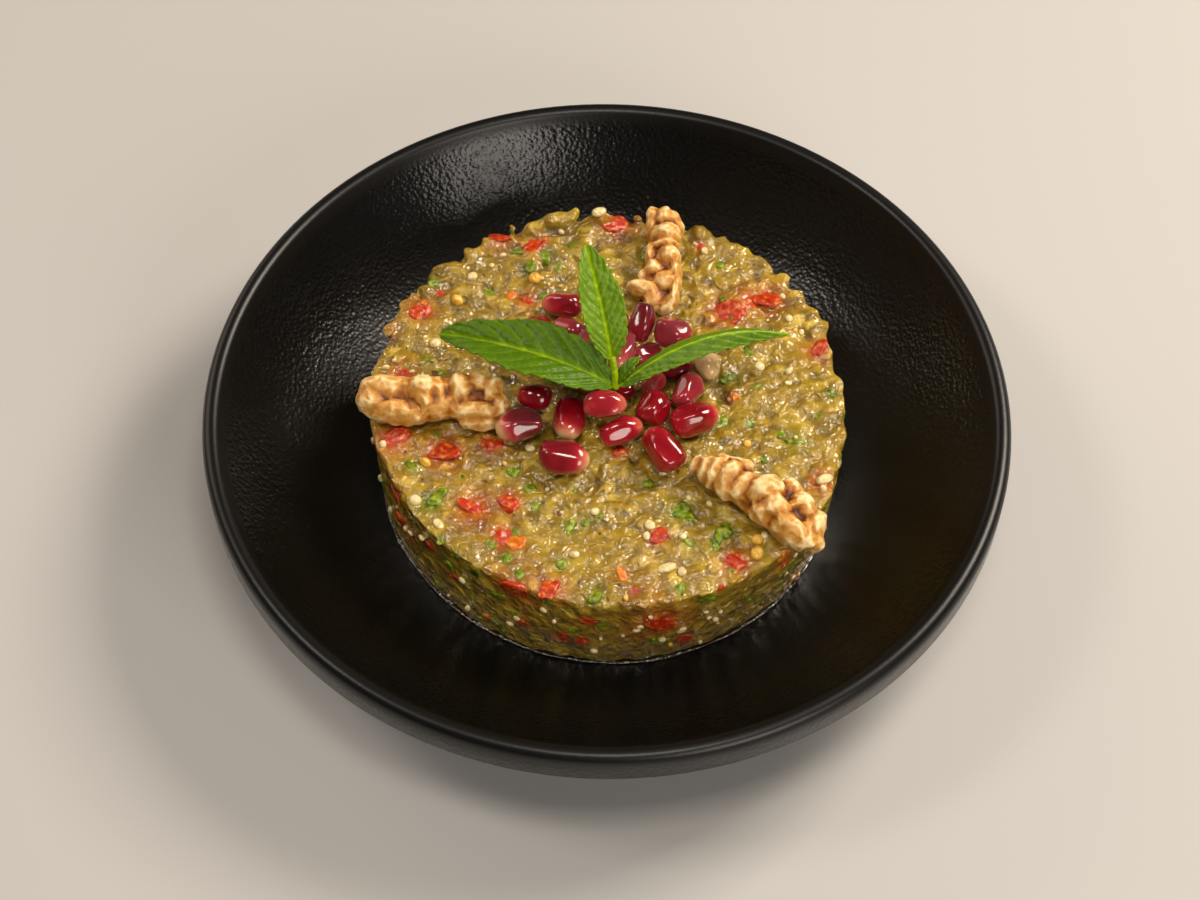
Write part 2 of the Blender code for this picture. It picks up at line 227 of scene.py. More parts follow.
@dataclass(frozen=True)
class BlackGlaze:
    """Matt black glaze sprayed on stoneware: a soft dark sheen broken up by its orange peel."""

    colour: str = "060606"
    specular: float = 0.42
    roughness: float = 0.21
    smoother: float = 0.05                # how far the roughness drifts down, and up
    rougher: float = 0.09
    drift: float = 60.0                   # patches of that drift to a metre
    lip_roughness: float = 0.36
    peel_size: float = 1.1 * MM
    peel_depth: float = 0.085 * MM
    floor_peel: float = 0.35              # share of the peel's depth on the floor, and on the lip
    lip_peel: float = 0.12
    floor_to: float = 8.5 * MM            # heights that the floor, the wall and the lip go to and from
    wall_from: float = 18 * MM
    lip_from: float = 29.5 * MM
    lip_to: float = 31.5 * MM

    def build(self) -> bpy.types.Material:
        """Return the material."""
        material, tree = new_material("black_glaze_stoneware")
        place = add_node(tree, "ShaderNodeTexCoord", {})
        spot = {"Vector": place.outputs["Object"]}
        height = add_node(tree, "ShaderNodeSeparateXYZ", {}, {0: place.outputs["Object"]})
        # The glaze pools to a smoother skin on the flat floor, and to a smooth one on the lip.
        off_floor = add_node(
            tree, "ShaderNodeMapRange",
            {"From Min": self.floor_to, "From Max": self.wall_from,
             "To Min": self.floor_peel, "To Max": 1.0},
            {"Value": height.outputs["Z"]})
        off_lip = add_node(
            tree, "ShaderNodeMapRange",
            {"From Min": self.lip_from, "From Max": self.lip_to, "To Min": 1.0, "To Max": self.lip_peel},
            {"Value": height.outputs["Z"]})
        peel_share = add_node(
            tree, "ShaderNodeMath", {"operation": "MULTIPLY"},
            {0: off_floor.outputs[0], 1: off_lip.outputs[0]})
        coarse = add_node(
            tree, "ShaderNodeTexNoise",
            {"Scale": 1 / self.peel_size, "Detail": 2.0, "Roughness": 0.55}, spot)
        fine = add_node(
            tree, "ShaderNodeTexVoronoi",
            {"feature": "SMOOTH_F1", "Scale": 1 / self.peel_size * 1.3, "Smoothness": 0.6}, spot)
        peel = add_node(
            tree, "ShaderNodeMath", {"operation": "ADD"}, {0: coarse.outputs[0], 1: fine.outputs[0]})
        bump = add_node(
            tree, "ShaderNodeBump", {"Distance": self.peel_depth},
            {"Height": peel.outputs[0], "Strength": peel_share.outputs[0]})
        drift = add_node(tree, "ShaderNodeTexNoise", {"Scale": self.drift, "Detail": 3.0}, spot)
        body_rough = add_node(
            tree, "ShaderNodeMapRange",
            {"To Min": self.roughness - self.smoother, "To Max": self.roughness + self.rougher},
            {"Value": drift.outputs[0]})
        rough = add_node(
            tree, "ShaderNodeMapRange",
            {"From Min": self.lip_from, "From Max": self.lip_to, "To Max": self.lip_roughness},
            {"Value": height.outputs["Z"], "To Min": body_rough.outputs[0]})
        shader = add_node(
            tree, "ShaderNodeBsdfPrincipled",
            {"Base Color": linear(self.colour), "IOR": 1.45, "Specular IOR Level": self.specular},
            {"Normal": bump.outputs[0], "Roughness": rough.outputs[0]})
        finish_material(tree, shader)
        return material


@dataclass(frozen=True)
class WetMash:
    """Roast aubergine flesh, chopped and dressed with oil: tan, a little clear, and shiny with wet."""

    shades: tuple = ((0.0, "5f4712"), (0.3, "7c641a"), (0.55, "95781a"), (0.8, "ac9029"), (1.0, "c8ac47"))
    # The colour of the painted shade laid in the hollows.
    hollow_shade: str = "523a12"
    blush: str = "b02a0c"
    leafy: str = "4c6a14"
    patch: float = 2.5 * MM

    def build(self) -> bpy.types.Material:
        """Return the material, which reads the mesh's own tone (painted lighter on raised lumps), its
        painted hollow shade, and its blush and leafy attributes.
        """
        material, tree = new_material("roast_aubergine_mash")
        place = add_node(tree, "ShaderNodeTexCoord", {})
        ramp, _ = mottled(
            tree, place, "tone", self.shades,
            {"Scale": 1 / self.patch, "Detail": 3.0, "Roughness": 0.55}, 0.5, 0.25)
        # Roast pepper and herb bleed a little into the flesh around them, and its hollows get a painted
        # shade.
        colour = ramp.outputs[0]
        for code, attribute in ((self.blush, "blush"), (self.leafy, "leafy"), (self.hollow_shade, "hollow")):
            colour = laid_over(tree, colour, code, attribute)
        soft, film = wet_relief(tree, place)
        shader = add_node(
            tree, "ShaderNodeBsdfPrincipled",
            {"Roughness": 0.45, "IOR": 1.4, "Specular IOR Level": 0.25,
             "Subsurface Weight": 0.4, "Subsurface Radius": (1.0, 0.6, 0.2), "Subsurface Scale": 1.0 * MM,
             "Coat Weight": 1.0, "Coat Roughness": 0.09, "Coat IOR": 1.65},
            {"Base Color": colour, "Normal": soft.outputs[0], "Coat Normal": film.outputs[0]})
        finish_material(tree, shader)
        return material


@dataclass(frozen=True)
class WalnutKernel:
    """Raw walnut kernel: a thin golden skin, pale where it stands proud and brown in its folds, partly its
    own colour and partly painted highlight and painted shade.
    """

    shades: tuple = ((0.0, "4a1c02"), (0.16, "844408"), (0.38, "ac6e1e"), (0.66, "ca9444"), (1.0, "f2d89e"))
    patch: float = 1.8 * MM
    vein_size: float = 0.8 * MM
    vein_depth: float = 0.25 * MM

    def build(self) -> bpy.types.Material:
        """Return the material, which reads the mesh's own ridge colour, partly painted highlight and shade.
        """
        material, tree = new_material("walnut_kernel_skin")
        place = add_node(tree, "ShaderNodeTexCoord", {})
        ramp, _ = mottled(
            tree, place, "ridge", self.shades,
            {"Scale": 1 / self.patch, "Detail": 5.0, "Roughness": 0.65}, 0.4, 0.2)
        veins = add_node(
            tree, "ShaderNodeTexNoise", {"Scale": 1 / self.vein_size, "Detail": 4.0, "Distortion": 1.2},
            {"Vector": place.outputs["Object"]})
        bump = add_node(
            tree, "ShaderNodeBump",
            {"Strength": 0.45, "Distance": self.vein_depth}, {"Height": veins.outputs[0]})
        shader = add_node(
            tree, "ShaderNodeBsdfPrincipled",
            {"Roughness": 0.5, "IOR": 1.45, "Subsurface Weight": 0.12, "Subsurface Radius": (1.0, 0.6, 0.3),
             "Subsurface Scale": 0.8 * MM, "Coat Weight": 0.15, "Coat Roughness": 0.25},
            {"Base Color": ramp.outputs[0], "Normal": bump.outputs[0]})
        finish_material(tree, shader)
        return material


@dataclass(frozen=True)
class ArilFlesh:
    """The juicy coat of a pomegranate seed: glossy and clear, crimson, paler at its tip."""

    shades: tuple = ((0.0, "38020b"), (0.33, "840515"), (0.55, "b01626"), (0.78, "d8765c"), (1.0, "e6c48a"))
    # A mauve veil laid over the whole aril: a painted sheen.
    sheen_veil_colour: str = "a5606c"
    patch: float = 3.0 * MM

    def build(self) -> bpy.types.Material:
        """Return the material, which reads the mesh's own pale tip with its painted glow, and its painted
        sheen veil.
        """
        material, tree = new_material("pomegranate_aril_flesh")
        place = add_node(tree, "ShaderNodeTexCoord", {})
        ramp, mottle = mottled(
            tree, place, "glow", self.shades, {"Scale": 1 / self.patch, "Detail": 3.0}, 0.36, 0.16)
        # The veil is a painted sheen over the aril's colour.
        colour = laid_over(tree, ramp.outputs[0], self.sheen_veil_colour, "veil")
        bump = add_node(
            tree, "ShaderNodeBump", {"Strength": 0.12, "Distance": 0.4 * MM}, {"Height": mottle.outputs[0]})
        shader = add_node(
            tree, "ShaderNodeBsdfPrincipled",
            {"Roughness": 0.15, "IOR": 1.38, "Transmission Weight": 0.2,
             "Subsurface Weight": 0.5, "Subsurface Radius": (1.0, 0.25, 0.2), "Subsurface Scale": 2.2 * MM,
             "Coat Weight": 1.0, "Coat Roughness": 0.05, "Coat IOR": 1.45},
            {"Base Color": colour, "Normal": bump.outputs[0]})
        finish_material(tree, shader)
        return material


@dataclass(frozen=True)
class MintBlade:
    """A fresh mint leaf: soft green, quilted between paler veins, a little light through it."""

    shades: tuple = ((0.0, "243c00"), (0.4, "4a6c00"), (0.7, "6e9000"), (1.0, "9cb608"))
    patch: float = 2.2 * MM
    cell_size: float = 1.1 * MM
    cell_depth: float = 0.25 * MM

    def build(self) -> bpy.types.Material:
        """Return the material, which reads the mesh's own vein attribute."""
        material, tree = new_material("mint_leaf_blade")
        place = add_node(tree, "ShaderNodeTexCoord", {})
        ramp, _ = mottled(
            tree, place, "vein", self.shades, {"Scale": 1 / self.patch, "Detail": 4.0}, 0.35, 0.17)
        cells = add_node(
            tree, "ShaderNodeTexVoronoi",
            {"feature": "SMOOTH_F1", "Scale": 1 / self.cell_size, "Smoothness": 0.3},
            {"Vector": place.outputs["Object"]})
        bump = add_node(
            tree, "ShaderNodeBump", {"Strength": 0.8, "Distance": self.cell_depth, "invert": True},
            {"Height": cells.outputs[0]})
        shader = add_node(
            tree, "ShaderNodeBsdfPrincipled",
            {"Roughness": 0.4, "IOR": 1.4, "Specular IOR Level": 0.35,
             "Subsurface Weight": 0.25, "Subsurface Radius": (0.5, 1.0, 0.15), "Subsurface Scale": 0.6 * MM},
            {"Base Color": ramp.outputs[0], "Normal": bump.outputs[0]})
        finish_material(tree, shader)
        return material


@dataclass(frozen=True)
class MinceFinish:
    """One kind of chopped bit set in the mash: its two colours, mottled, under the same film of oil.

    A third colour is for the flesh of the mash that clings to it in places.
    """

    name: str
    dark: str
    light: str
    clinging: str = ""
    grain: float = 1.0 * MM
    see_through: float = 0.3
    gloss: float = 0.6
    relief: float = 0.6

    def build(self) -> bpy.types.Material:
        """Return the material."""
        material, tree = new_material(self.name)
        place = add_node(tree, "ShaderNodeTexCoord", {})
        mottle = add_node(
            tree, "ShaderNodeTexNoise", {"Scale": 1 / self.grain, "Detail": 3.0},
            {"Vector": place.outputs["Object"]})
        ramp = add_node(
            tree, "ShaderNodeValToRGB",
            {"stops": ((0.3, self.dark), (0.57, self.light), (0.66, self.clinging or self.light))},
            {0: mottle.outputs[0]})
        soft, film = wet_relief(tree, place, self.relief)
        shader = add_node(
            tree, "ShaderNodeBsdfPrincipled",
            {"Roughness": 0.35, "IOR": 1.4, "Subsurface Weight": self.see_through,
             "Subsurface Radius": (1.0, 0.5, 0.3), "Subsurface Scale": 1.0 * MM,
             "Coat Weight": self.gloss, "Coat Roughness": 0.12},
            {"Base Color": ramp.outputs[0], "Normal": soft.outputs[0], "Coat Normal": film.outputs[0]})
        finish_material(tree, shader)
        return material


# Mesh work that several pieces share


def coordinates(mesh: bpy.types.Mesh, what: str = "co") -> Array:
    """Read one vector a vertex.

    Args:
        mesh: the mesh.
        what: "co" for the positions, or "normal".

    Returns:
        One row a vertex.
    """
    flat = np.empty(len(mesh.vertices) * 3, np.float32)
    mesh.vertices.foreach_get(what, flat)
    return flat.reshape(-1, 3).astype(float)


def reshape(mesh: bpy.types.Mesh, points: Array) -> None:
    """Move a mesh's vertices to these points."""
    mesh.vertices.foreach_set("co", points.astype(np.float32).ravel())
    mesh.update()


def paint(mesh: bpy.types.Mesh, name: str, values: Array) -> None:
    """Store one number a vertex as a named attribute."""
    attribute = mesh.attributes.get(name) or mesh.attributes.new(name, "FLOAT", "POINT")
    attribute.data.foreach_set("value", values.astype(np.float32))


def softened(mesh: bpy.types.Mesh, rounds: int) -> Array:
    """Move each vertex to the middle of its neighbours, in a copy of the positions.

    Args:
        mesh: the mesh, which stays as it is.
        rounds: how many times they move.

    Returns:
        The softened positions.
    """
    pairs = np.empty(len(mesh.edges) * 2, np.int32)
    mesh.edges.foreach_get("vertices", pairs)
    first, second = pairs.reshape(-1, 2).T
    total = len(mesh.vertices)
    count = np.bincount(first, minlength=total) + np.bincount(second, minlength=total)
    points = coordinates(mesh)
    for _ in range(rounds):
        moved = [
            np.bincount(first, points[second, axis], total) + np.bincount(second, points[first, axis], total)
            for axis in range(3)]
        points = np.stack(moved, 1) / np.maximum(count, 1)[:, None]
    return points


def standing_proud(mesh: bpy.types.Mesh, rounds: int) -> Array:
    """Return how far each vertex stands above its softened neighbourhood, in metres."""
    return ((coordinates(mesh) - softened(mesh, rounds)) * coordinates(mesh, "normal")).sum(1)


def only(piece: bpy.types.Object) -> None:
    """Make a piece the only selected one, and the active one.

    Args:
        piece: the piece.
    """
    if bpy.context.object and bpy.context.object.mode != "OBJECT":
        bpy.ops.object.mode_set(mode="OBJECT")
    bpy.ops.object.select_all(action="DESELECT")
    piece.select_set(True)
    bpy.context.view_layer.objects.active = piece


def apply_modifier(piece: bpy.types.Object, kind: str, **settings: object) -> None:
    """Add a modifier to a piece and apply it.

    Args:
        piece: the piece.
        kind: the modifier's type.
        settings: its properties.
    """
    only(piece)
    modifier = piece.modifiers.new(kind.lower(), kind)
    for key, value in settings.items():
        setattr(modifier, key, value)
    bpy.ops.object.modifier_apply(modifier=modifier.name)


def roughen(piece: bpy.types.Object, kind: str, size: float, depth: float, group: str = "") -> None:
    """Push a piece's surface in and out by a texture.

    Args:
        piece: the piece.
        kind: a texture type, such as CLOUDS.
        size: the texture's grain, in metres.
        depth: how far the surface moves from lowest to highest, in metres.
        group: the vertex group that holds how much of the depth each vertex takes.
    """
    texture = bpy.data.textures.new(f"{piece.name}_{kind.lower()}", kind)
    texture.noise_scale = size
    apply_modifier(
        piece, "DISPLACE", texture=texture, texture_coords="LOCAL", strength=depth, mid_level=0.5,
        vertex_group=group)


def ball(steps: int = 2) -> tuple[Array, Array]:
    """Make a unit icosphere.

    Args:
        steps: how often it is subdivided.

    Returns:
        Its corners and its triangles.
    """
    work = bmesh.new()
    bmesh.ops.create_icosphere(work, subdivisions=steps, radius=1)
    corners = np.array([vertex.co for vertex in work.verts])
    faces = np.array([[vertex.index for vertex in face.verts] for face in work.faces])
    work.free()
    return corners, faces


def turns(about_z: Array, about_x: Array) -> Array:
    """Make one rotation matrix for each pair of angles.

    Args:
        about_z: the angles about Z, which comes second.
        about_x: the angles about X, which comes first.

    Returns:
        The matrices.
    """
    cos_z, sin_z, cos_x, sin_x = np.cos(about_z), np.sin(about_z), np.cos(about_x), np.sin(about_x)
    zero, one = np.zeros_like(cos_z), np.ones_like(cos_z)
    turn_z = np.stack([cos_z, -sin_z, zero, sin_z, cos_z, zero, zero, zero, one], 1).reshape(-1, 3, 3)
    turn_x = np.stack([one, zero, zero, zero, cos_x, -sin_x, zero, sin_x, cos_x], 1).reshape(-1, 3, 3)
    return turn_z @ turn_x


def many(
        name: str, shape: tuple[Array, Array], centres: Array, sizes: Array,
        turned: Array) -> bpy.types.Object:
    """Join many copies of one small shape into one piece.

    Args:
        name: the piece's name.
        shape: the shape's corners, about one unit across from its middle, and its faces.
        centres: one place a copy.
        sizes: three half sizes a copy.
        turned: one rotation matrix a copy.

    Returns:
        The piece.
    """
    corners, faces = shape
    bodies = np.broadcast_to(corners, (len(centres), *corners.shape[-2:])) * sizes[:, None, :]
    points = np.einsum("nij,nvj->nvi", turned, bodies) + centres[:, None, :]
    stride = corners.shape[-2]
    all_faces = (faces[None] + np.arange(len(centres))[:, None, None] * stride).reshape(-1, faces.shape[1])
    mesh = bpy.data.meshes.new(name)
    mesh.from_pydata(points.reshape(-1, 3).tolist(), [], all_faces.tolist())
    mesh.shade_smooth()
    piece = bpy.data.objects.new(name, mesh)
    bpy.context.scene.collection.objects.link(piece)
    return piece


def joined(pieces: Sequence[bpy.types.Object]) -> bpy.types.Object:
    """Join pieces into one.

    Args:
        pieces: the pieces.

    Returns:
        The first of them, which now holds them all.
    """
    only(pieces[0])
    for piece in pieces[1:]:
        piece.select_set(True)
    bpy.ops.object.join()
    return pieces[0]


def dressed(
        piece: bpy.types.Object, finish: bpy.types.Material, slot: Slot, *nodes: str) -> bpy.types.Object:
    """Finish a piece, and report it.

    Args:
        piece: the piece.
        finish: its material.
        slot: its material slot; not used.
        nodes: the plain solids that it stands for.

    Returns:
        The piece.
    """
    piece.data.materials.clear()
    piece.data.materials.append(finish)
    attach(piece, "root")
    if nodes:
        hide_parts(*nodes)
    triangles = sum(len(face.vertices) - 2 for face in piece.data.polygons)
    LOG.info("%s: %d triangles", piece.name, triangles)
    return piece


# The bowl


@dataclass
class StonewareBowl:
    """The low bowl: turned from its profile, with a rounded lip and a foot ring."""

    radius: float
    height: float
    floor_top: float
    floor_radius: float = 49.5 * MM
    wall: float = 4.5 * MM
    wall_curve: float = 1.8
    lip_width: float = 3.8 * MM
    lip_round: float = 2.0 * MM
    lip_slope: float = 1.5 * MM
    foot_radius: float = 41 * MM
    foot_width: float = 4 * MM
    foot_height: float = 3 * MM
    rim_face_round: float = 1.2 * MM
    foot_round: float = 0.4 * MM
    steps: int = 160

    def wall_point(self, share: float, outside: float = 0) -> tuple[float, float]:
        """Find a point of the wall.

        Args:
            share: how far up it is, from 0 at the floor to 1 at the lip.
            outside: how far outside the wall's inner face.

        Returns:
            Its radius and its height.
        """
        run = self.radius - self.lip_width - self.floor_radius
        rise = self.height - self.lip_slope - self.floor_top
        slope = math.atan(rise / run * self.wall_curve * share ** (self.wall_curve - 1))
        radius = self.floor_radius + run * share + outside * math.sin(slope)
        return radius, self.floor_top + rise * share ** self.wall_curve - outside * math.cos(slope)

    def profile(self) -> list[tuple[float, float]]:
        """Return the outline from the middle of the floor, over the lip, to the middle underneath."""
        points = [(0.0, self.floor_top), (self.floor_radius * 0.6, self.floor_top)]
        points += [self.wall_point(share) for share in np.linspace(0, 0.95, 22)]
        middle = self.radius - self.lip_width / 2
        for degrees in range(160, -1, -16):
            turn = math.radians(degrees)
            points.append((middle + self.lip_width / 2 * math.cos(turn),
                           self.height - self.lip_round * (1 - math.sin(turn))))
        rim_face = self.wall_point(0.9, self.wall)[1]
        points.append((self.radius, rim_face + self.rim_face_round))
        points.append((self.radius - 0.5 * MM, rim_face + 0.2 * MM))
        points += [self.wall_point(share, self.wall) for share in np.linspace(0.88, 0.1, 14)]
        under = self.floor_top - self.wall
        inner = self.foot_radius - self.foot_width
        points += [(self.foot_radius + 1.2 * MM, under), (self.foot_radius + 0.5 * MM, under - 0.5 * MM)]
        points += [(self.foot_radius + 0.1 * MM, self.foot_round),
            (self.foot_radius - self.foot_round, 0.0)]
        points += [(inner + self.foot_round, 0.0), (inner, self.foot_round)]
        points.append((inner - 0.5 * MM, self.foot_height))
        points.append((0.0, self.foot_height))
        return points

    def build(self) -> bpy.types.Object:
        """Extrude the profile point by point, spin it, and return the bowl."""
        outline = self.profile()
        bpy.ops.mesh.primitive_plane_add(size=1 * MM)
        bowl = bpy.context.object
        bowl.name = bowl.data.name = "stoneware_bowl"
        bpy.ops.object.mode_set(mode="EDIT")
        bpy.ops.mesh.merge(type="CENTER")
        bpy.ops.transform.translate(value=(outline[0][0], 0, outline[0][1]))
        for (radius, height), (next_radius, next_height) in zip(outline, outline[1:]):
            step = (next_radius - radius, 0, next_height - height)
            bpy.ops.mesh.extrude_region_move(TRANSFORM_OT_translate={"value": step})
        bpy.ops.mesh.select_all(action="SELECT")
        bpy.ops.mesh.spin(steps=self.steps, angle=math.tau, center=(0, 0, 0), axis=(0, 0, 1))
        bpy.ops.mesh.select_all(action="SELECT")
        bpy.ops.mesh.remove_doubles(threshold=0.01 * MM)
        bpy.ops.mesh.normals_make_consistent(inside=False)
        bpy.ops.object.mode_set(mode="OBJECT")
        bpy.ops.object.shade_smooth()
        return dressed(bowl, BlackGlaze().build(), Slot.STONEWARE, "bowl")


# The puck


@dataclass(frozen=True)
class Chop:
    """One size of lump on the top of the puck, in millimetres."""

    name: str
    count: int
    least: float
    most: float
    sink: float


@dataclass
class AubergineMash:
    """The moulded puck: lumps of chopped flesh run together, pressed flat by the ring and the spoon."""

    node: bpy.types.Object
    seed: int = 7
    voxel: float = 0.63 * MM
    heap_at: tuple[float, float] = (2 * MM, 0 * MM)
    heap_spread: float = 15 * MM
    heap_rise: float = 1.1 * MM
    tilt: float = 0.010                   # the top rises this much towards the far side
    peak_at: float = math.radians(98)
    peak_rise: float = 1.5 * MM
    peak_width: float = 0.13              # radians
    tone_middle: float = 0.53
    tone_spread: float = 0.17
    chops: tuple[Chop, ...] = (
        Chop("large", 420, 1.8, 3.8, 0.5),
        Chop("middling", 900, 0.9, 1.8, 0.25),
        Chop("small", 900, 0.5, 0.9, 0.0))
    side_count: int = 1500
    crown_count: int = 80
    crown_span: tuple[float, float] = (15, 160)    # degrees
    ragged_at: float = math.radians(88)            # where the top edge is most ragged
    ragged_reach: float = math.radians(62)
    hold: float = 0.76                    # how much of what stands out the mould presses back
    tones: list = field(default_factory=list)

    def __post_init__(self) -> None:
        """Read the puck's outline from its solid."""
        points = coordinates(self.node.data)
        self.low, self.high = points[:, 2].min(), np.percentile(points[:, 2], 90)
        radius = np.hypot(points[:, 0], points[:, 1])
        rim = radius > 42 * MM
        self.outlines = []
        for ring in (points[rim & (points[:, 2] < self.low + 0.2 * MM)],
                     points[rim & (points[:, 2] > self.high - 2 * MM) & (radius > 47.5 * MM)]):
            angles = np.round(np.arctan2(ring[:, 1], ring[:, 0]), 2)
            spans = sorted({float(a) for a in angles})
            widest = [float(np.hypot(*ring[angles == a][:, :2].T).max()) for a in spans]
            self.outlines.append((np.array(spans), np.array(widest)))
        self.random = np.random.default_rng(self.seed)

    def side(self, angle: Array, height: Array) -> Array:
        """Find the face of the mould.

        Args:
            angle: the angles round the puck.
            height: a height for each.

        Returns:
            The radius of the pressed side there.
        """
        foot, rim = (np.interp(angle, spans, widest, period=math.tau) for spans, widest in self.outlines)
        share = np.clip((height - self.low) / (self.high - self.low), 0, 1)
        return foot + (rim - foot) * share

    def level(self, x: Array, y: Array) -> Array:
        """Find the spooned top, which rises under the heap of arils.

        Args:
            x: the places' first coordinates.
            y: their second ones.

        Returns:
            The height of the top there.
        """
        away = ((x - self.heap_at[0]) ** 2 + (y - self.heap_at[1]) ** 2) / (2 * self.heap_spread ** 2)
        return self.high + self.heap_rise * np.exp(-away) + self.tilt * y

    def core(self) -> bpy.types.Object:
        """Return the plain middle that the lumps are set on."""
        bpy.ops.mesh.primitive_cylinder_add(vertices=192, radius=1, depth=1)
        core = bpy.context.object
        points = coordinates(core.data)
        angle = np.arctan2(points[:, 1], points[:, 0])
        upper = points[:, 2] > 0
        height = np.where(upper, self.high - 0.5 * MM, self.low)
        inside = np.where(upper, 0.5 * MM, 0.15 * MM)
        reach = np.hypot(points[:, 0], points[:, 1]) * (self.side(angle, height) - inside)
        reshape(core.data, np.stack([reach * np.cos(angle), reach * np.sin(angle), height], 1))
        return core

    def lumps(self, name: str, spots: Array, sizes: Array, steps: int = 2) -> bpy.types.Object:
        """Make lumps of flesh, each with a tone of its own.

        Args:
            name: the name of the mesh that holds them.
            spots: their middles.
            sizes: their half sizes.
            steps: how finely each ball is divided.

        Returns:
            The lumps as one object.
        """
        count = len(spots)
        turned = turns(self.random.uniform(0, math.tau, count), self.random.uniform(-0.5, 0.5, count))
        tones = self.random.normal(self.tone_middle, self.tone_spread, count)
        self.tones += list(zip(spots, tones))
        return many(name, ball(steps), spots, sizes, turned)

    def top_lumps(self) -> list[bpy.types.Object]:
        """Return the lumps that make the top: large, middling and small ones."""
        made = []
        for chop in self.chops:
            count = chop.count
            angle = self.random.uniform(-math.pi, math.pi, count)
            edge = self.side(angle, np.full(count, self.high)) - 0.8 * MM
            reach = edge * np.sqrt(self.random.uniform(0, 1, count))
            x, y = reach * np.cos(angle), reach * np.sin(angle)
            half = self.random.uniform(chop.least, chop.most, count) * MM
            sizes = np.stack([half, half * self.random.uniform(0.5, 0.95, count),
                              half * self.random.uniform(0.4, 0.7, count)], 1)
            rise = self.random.uniform(-0.5, 0.7, count) * MM - chop.sink * MM
            spots = np.stack([x, y, self.level(x, y) + rise - sizes[:, 2] * 0.4], 1)
            made.append(self.lumps(f"lumps_{chop.name}", spots, sizes))
        return made

    def side_lumps(self) -> bpy.types.Object:
        """Return the lumps of the side, which the mould pressed to one face."""
        count = self.side_count
        angle = self.random.uniform(-math.pi, math.pi, count)
        height = self.random.uniform(self.low + 0.5 * MM, self.high - 0.5 * MM, count)
        half = self.random.uniform(0.8, 2.6, count) * MM
        reach = self.side(angle, height) - half * self.random.uniform(0.1, 0.8, count)
        spots = np.stack([reach * np.cos(angle), reach * np.sin(angle), height], 1)
        sizes = np.stack([half, half * self.random.uniform(0.6, 0.9, count),
                          half * self.random.uniform(0.5, 0.8, count)], 1)
        return self.lumps("lumps_side", spots, sizes)

    def crown_lumps(self) -> bpy.types.Object:
        """Return the ragged lumps that stand up along the far edge."""
        count = self.crown_count
        angle = np.radians(self.random.uniform(*self.crown_span, count))
        half = self.random.uniform(0.8, 2.1, count) * MM
        reach = self.side(angle, np.full(count, self.high)) - self.random.uniform(0.0, 2.6, count) * MM
        peak = self.peak_rise * np.exp(-((angle - self.peak_at) / self.peak_width) ** 2)
        rise = self.random.uniform(0.0, 1.7, count) * MM + peak
        spots = np.stack([reach * np.cos(angle), reach * np.sin(angle), self.high + rise], 1)
        sizes = np.stack([half, half * 0.8, half * self.random.uniform(0.6, 0.9, count)], 1)
        return self.lumps("lumps_crown", spots, sizes)

    def press(self, mesh: bpy.types.Mesh) -> None:
        """Flatten what stands outside the mould's face, and lay the base flat.

        Args:
            mesh: the puck's mesh.
        """
        points = coordinates(mesh)
        angle = np.arctan2(points[:, 1], points[:, 0])
        reach = np.hypot(points[:, 0], points[:, 1])
        face = self.side(angle, points[:, 2])
        ragged = np.clip(1.4 - np.abs(angle - self.ragged_at) / self.ragged_reach, 0, 1)
        level = self.level(points[:, 0], points[:, 1])
        proud = points[:, 2] - level - 0.5 * MM
        spooned = (proud > 0) & (points[:, 2] > self.high - 1 * MM)
        points[:, 2] -= np.where(spooned, proud * 0.6 * (1 - ragged), 0)
        fade = 0.8 * MM + 1.2 * MM * ragged
        held = np.clip((self.high + 0.8 * MM - 2.0 * MM * ragged - points[:, 2]) / fade, 0, 1)
        give = 1 - self.hold * held
        pressed = np.where(reach > face, face + (reach - face) * give, reach)
        points[:, 0] *= pressed / np.maximum(reach, 1e-9)
        points[:, 1] *= pressed / np.maximum(reach, 1e-9)
        points[:, 2] = np.maximum(points[:, 2], self.low)
        reshape(mesh, points)

    def tint(self, mesh: bpy.types.Mesh) -> None:
        """Store each vertex's tone, from the lump it belongs to and painted lighter where it stands proud,
        and the painted shade of the hollows there.

        Args:
            mesh: the puck's mesh.
        """
        tree = KDTree(len(self.tones))
        for number, (spot, _) in enumerate(self.tones):
            tree.insert(spot, number)
        tree.balance()
        points = coordinates(mesh)
        nearest = [tree.find(point)[1] for point in points]
        tone = np.array([self.tones[number][1] for number in nearest])
        proud = standing_proud(mesh, 14)
        # Where the surface stands proud its tone is painted lighter, a painted light; the hollows below get
        # a painted shade.
        paint(mesh, "tone", np.clip(tone + proud / (1.2 * MM) * 0.3, 0, 1))
        paint(mesh, "hollow", np.clip(-proud / (1.3 * MM) - 0.18, 0, 0.6))

    def build(self) -> bpy.types.Object:
        """Run the lumps together, press and roughen them, and return the puck."""
        puck = joined([self.core(), *self.top_lumps(), self.side_lumps(), self.crown_lumps()])
        puck.name = puck.data.name = "aubergine_mash"
        apply_modifier(puck, "REMESH", mode="VOXEL", voxel_size=self.voxel)
        self.press(puck.data)
        reshape(puck.data, softened(puck.data, 2))
        loose = puck.vertex_groups.new(name="loose")
        heights = coordinates(puck.data)[:, 2]
        for number, share in enumerate(np.clip((heights - self.high) / (2 * MM) + 1, 0.2, 1)):
            loose.add([number], float(share), "REPLACE")
        roughen(puck, "CLOUDS", 2.2 * MM, 0.6 * MM, loose.name)
        roughen(puck, "CLOUDS", 0.9 * MM, 0.16 * MM, loose.name)
        self.press(puck.data)
        puck.data.shade_smooth()
        self.tint(puck.data)
        return dressed(puck, WetMash().build(), Slot.MASH, self.node.name)


